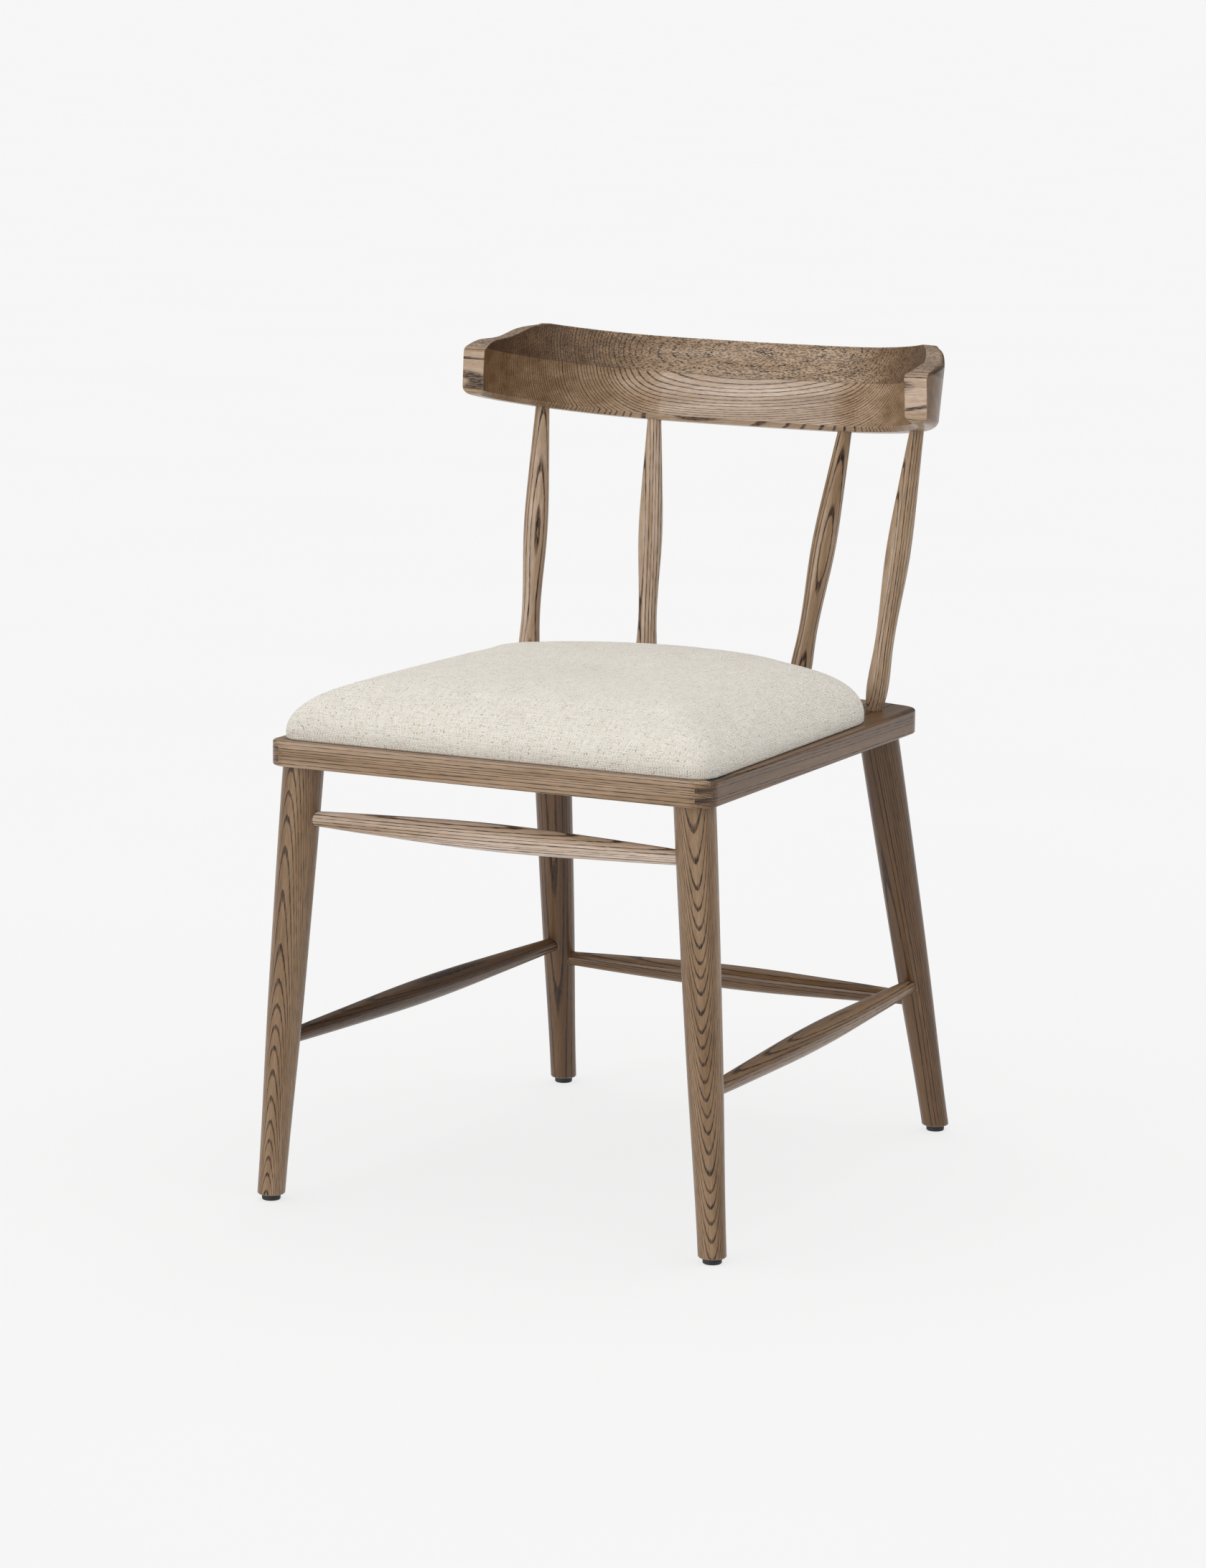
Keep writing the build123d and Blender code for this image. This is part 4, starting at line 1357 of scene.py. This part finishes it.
    def lay_out(self, mesh: bpy.types.Mesh, grid: np.ndarray, travel: np.ndarray) -> None:
        """Write where each point lies on the flat cloth.

        A point is as far from the middle on the flat cloth as it is along the crown, in the
        direction it has in plan.

        Args:
            mesh: The cloth's mesh.
            grid: The grid it was made from.
            travel: Distance of each row from the top along the cloth.
        """
        way = grid[..., :2] - np.array([0, grid[..., 1].mean()])
        plain = np.linalg.norm(way, axis=2, keepdims=True)
        outer = plain[self.crown_count - 1]
        flat = way / plain * (outer[None] * (travel / self.front_half)[:, None, None])
        places = np.concatenate([flat.reshape(-1, 2), np.zeros((1, 2))])
        corners = np.empty(len(mesh.loops), dtype=np.int64)
        mesh.loops.foreach_get("vertex_index", corners)
        layer = mesh.uv_layers.new(name=self.uv)
        layer.data.foreach_set("uv", places[corners].ravel())

    def build(self) -> None:
        """Make the upholstered seat."""
        grid, top, travel = self.skin()
        mesh = grid_mesh("seat_linen", grid, top)
        self.lay_out(mesh, grid, travel)
        linen = Linen().material("linen_cloth", self.uv)
        piece = add_piece("seat_linen", mesh, linen)
        rows, columns = grid.shape[:2]
        self.settle(piece, np.arange(self.crown_count * columns, rows * columns))
        wall = piece.modifiers.new("Thickness", "SOLIDIFY")
        wall.thickness = self.cloth
        wall.offset = -1.0
        smooth = piece.modifiers.new("Smooth", "SUBSURF")
        smooth.levels = smooth.render_levels = 1
        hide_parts("seat_cover")


@dataclass
class Underside:
    """What only shows from below: panel, foam, dust cover, screws and staples.

    Attributes:
        nodes: The CAD nodes by name.
        gap: Distance between staples.
        inset: Distance of the staples from the edge of the dust cover.
        wire: Thickness of a staple's wire.
        crown: Length of a staple.
    """

    nodes: dict[str, bpy.types.Object]
    gap: float = 0.03
    inset: float = 0.006
    wire: float = 0.0012
    crown: float = 0.01

    def staples(self) -> bpy.types.Mesh:
        """The staples that hold the dust cover.

        A staple is a straight bar under the cloth, as high and as wide as its wire. The bars
        stand a little over one gap apart along each edge of the cloth, in line with it.

        Returns:
            The mesh of all staples.
        """
        box = Span.of("dust_cover")
        low, high = box.low, box.high
        signs = np.array([[x, y, z] for x in (-1, 1) for y in (-1, 1) for z in (-1, 1)])
        bars: list[np.ndarray] = []
        for axis in (0, 1):
            start, stop = low[axis] + 2 * self.gap, high[axis] - 2 * self.gap
            spots = np.linspace(start, stop, int((stop - start) / self.gap))
            half = np.full(3, self.wire / 2)
            half[axis] = self.crown / 2
            for side in (low[1 - axis] + self.inset, high[1 - axis] - self.inset):
                centre = np.zeros((len(spots), 3))
                centre[:, axis], centre[:, 1 - axis] = spots, side
                centre[:, 2] = low.z - self.wire / 2
                bars.append(centre[:, None] + signs[None] * half)
        corners = np.concatenate(bars)
        faces = np.array([[0, 1, 3, 2], [4, 6, 7, 5], [0, 4, 5, 1], [2, 3, 7, 6], [0, 2, 6, 4],
                          [1, 5, 7, 3]])
        number = (np.arange(len(corners))[:, None, None] * 8 + faces[None]).reshape(-1, 4)
        return new_mesh("dust_cover_staples", corners.reshape(-1, 3), number.tolist())

    def build(self) -> None:
        """Dress the hidden pieces and add the staples."""
        steel = SCREW_STEEL.material("screw_metal")
        finishes = {"seat_foam": FOAM.material("foam_block"),
                    "seat_panel": PLYWOOD.material("panel_plywood"),
                    "dust_cover": DUST_CLOTH.material("dust_cover_cloth"),
                    "block_screws": steel, "seat_screws": steel}
        for name, material in finishes.items():
            dress(self.nodes[name], material)
        add_piece("dust_cover_staples", self.staples(), steel)


# ---- studio ------------------------------------------------------------------------------
@dataclass
class Studio:
    """A pale room, soft light and the camera.

    Attributes:
        eye: Where the camera stands.
        tilt: How far it is raised from looking straight down, in degrees.
        roll: How far it leans sideways, in degrees.
        heading: How far it is turned left from looking along +Y, in degrees.
        lens: Focal length in millimetres on a 36 mm high sensor.
        pale: Colour of the room.
        reach: Half the width of the floor.
        glow: How brightly the floor glows, so that shadows on it stay faint.
        daylight: Strength of the even light in the room.
        dimmed: How much weaker that light is in reflections.
    """

    eye: Triple = (2.2141, -4.4117, 1.271)
    tilt: float = 79.775
    roll: float = -0.6125
    heading: float = 27.0347
    lens: float = 118.518
    pale: Colour = tone(245, 245, 245)
    reach: float = 60.0
    glow: float = 0.739
    daylight: float = 0.62
    dimmed: float = 0.4

    def camera(self) -> None:
        """Place the camera."""
        lens = bpy.data.cameras.new("camera")
        lens.sensor_fit, lens.sensor_height, lens.lens = "VERTICAL", 36.0, self.lens
        lens.clip_end = 300.0
        camera = show("camera", lens)
        turn = Euler([math.radians(angle) for angle in (self.tilt, self.roll, self.heading)])
        camera.matrix_world = Matrix.LocRotScale(Vector(self.eye), turn, None)
        bpy.context.scene.camera = camera

    def floor(self) -> None:
        """Lay the floor."""
        corners = self.reach * np.array([[-1, -1, 0], [1, -1, 0], [1, 1, 0], [-1, 1, 0]])
        piece = show("floor", new_mesh("floor", corners, [[0, 1, 2, 3]]))
        material, graph, shader = new_material("pale_floor")
        cloud = graph.line(graph.noise(graph.here(), scale=2.0), slope=0.01, start=0.155)
        graph.fill(shader, Base_Color=graph.join(cloud, cloud, cloud), Roughness=0.9,
                   Specular_IOR_Level=0.0, Emission_Color=(1, 1, 1, 1),
                   Emission_Strength=self.glow)
        piece.data.materials.append(material)

    def sun(self, name: str, toward: Triple, strength: float, spread: float) -> None:
        """Hang a soft light.

        Args:
            name: Its name.
            toward: The direction from the chair to the light.
            strength: Its strength.
            spread: How wide it is, in degrees.
        """
        lamp = bpy.data.lights.new(name, "SUN")
        lamp.energy, lamp.angle = strength, math.radians(spread)
        light = show(name, lamp)
        light.rotation_euler = Vector(toward).to_track_quat("Z", "Y").to_euler()

    def room(self) -> None:
        """Fill the room with even light, less of it in reflections.

        The camera sees the room in the floor's colour.
        """
        world = bpy.data.worlds.new("room")
        bpy.context.scene.world = world
        world.use_nodes = True
        world.node_tree.nodes.clear()
        graph = Graph(world.node_tree)
        path = graph.add("ShaderNodeLightPath")
        strength = graph.line(path.outputs["Is Glossy Ray"], -self.dimmed, self.daylight)
        seen = graph.add("ShaderNodeBackground", {"Color": self.pale, "Strength": 1.0})
        light = graph.add("ShaderNodeBackground", {"Color": (1, 0.99, 0.98, 1),
                                                   "Strength": strength})
        both = graph.add("ShaderNodeMixShader", {0: path.outputs["Is Camera Ray"],
                                                 1: light.outputs[0], 2: seen.outputs[0]})
        graph.add("ShaderNodeOutputWorld", {0: both.outputs[0]})

    def build(self) -> None:
        """Set up the studio."""
        self.camera()
        self.floor()
        self.room()
        self.sun("window", toward=(-0.45, -0.87, 0.17), strength=0.8, spread=26.0)
        self.sun("ceiling", toward=(0.0, -0.1, 1.0), strength=1.6, spread=120.0)
        bpy.context.scene.view_settings.view_transform = "Standard"
        bpy.context.scene.view_settings.look = "None"


def main() -> None:
    """Build and dress the chair, piece by piece."""
    logging.basicConfig(level=logging.INFO, format="%(name)s: %(message)s")
    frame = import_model()
    nodes = frame["nodes"]
    Studio().build()
    Base(nodes).build()
    SeatRing(nodes).build()
    Back(nodes).build()
    Underside(nodes).build()
    Cushion().build()


if __name__ == "__main__":
    main()
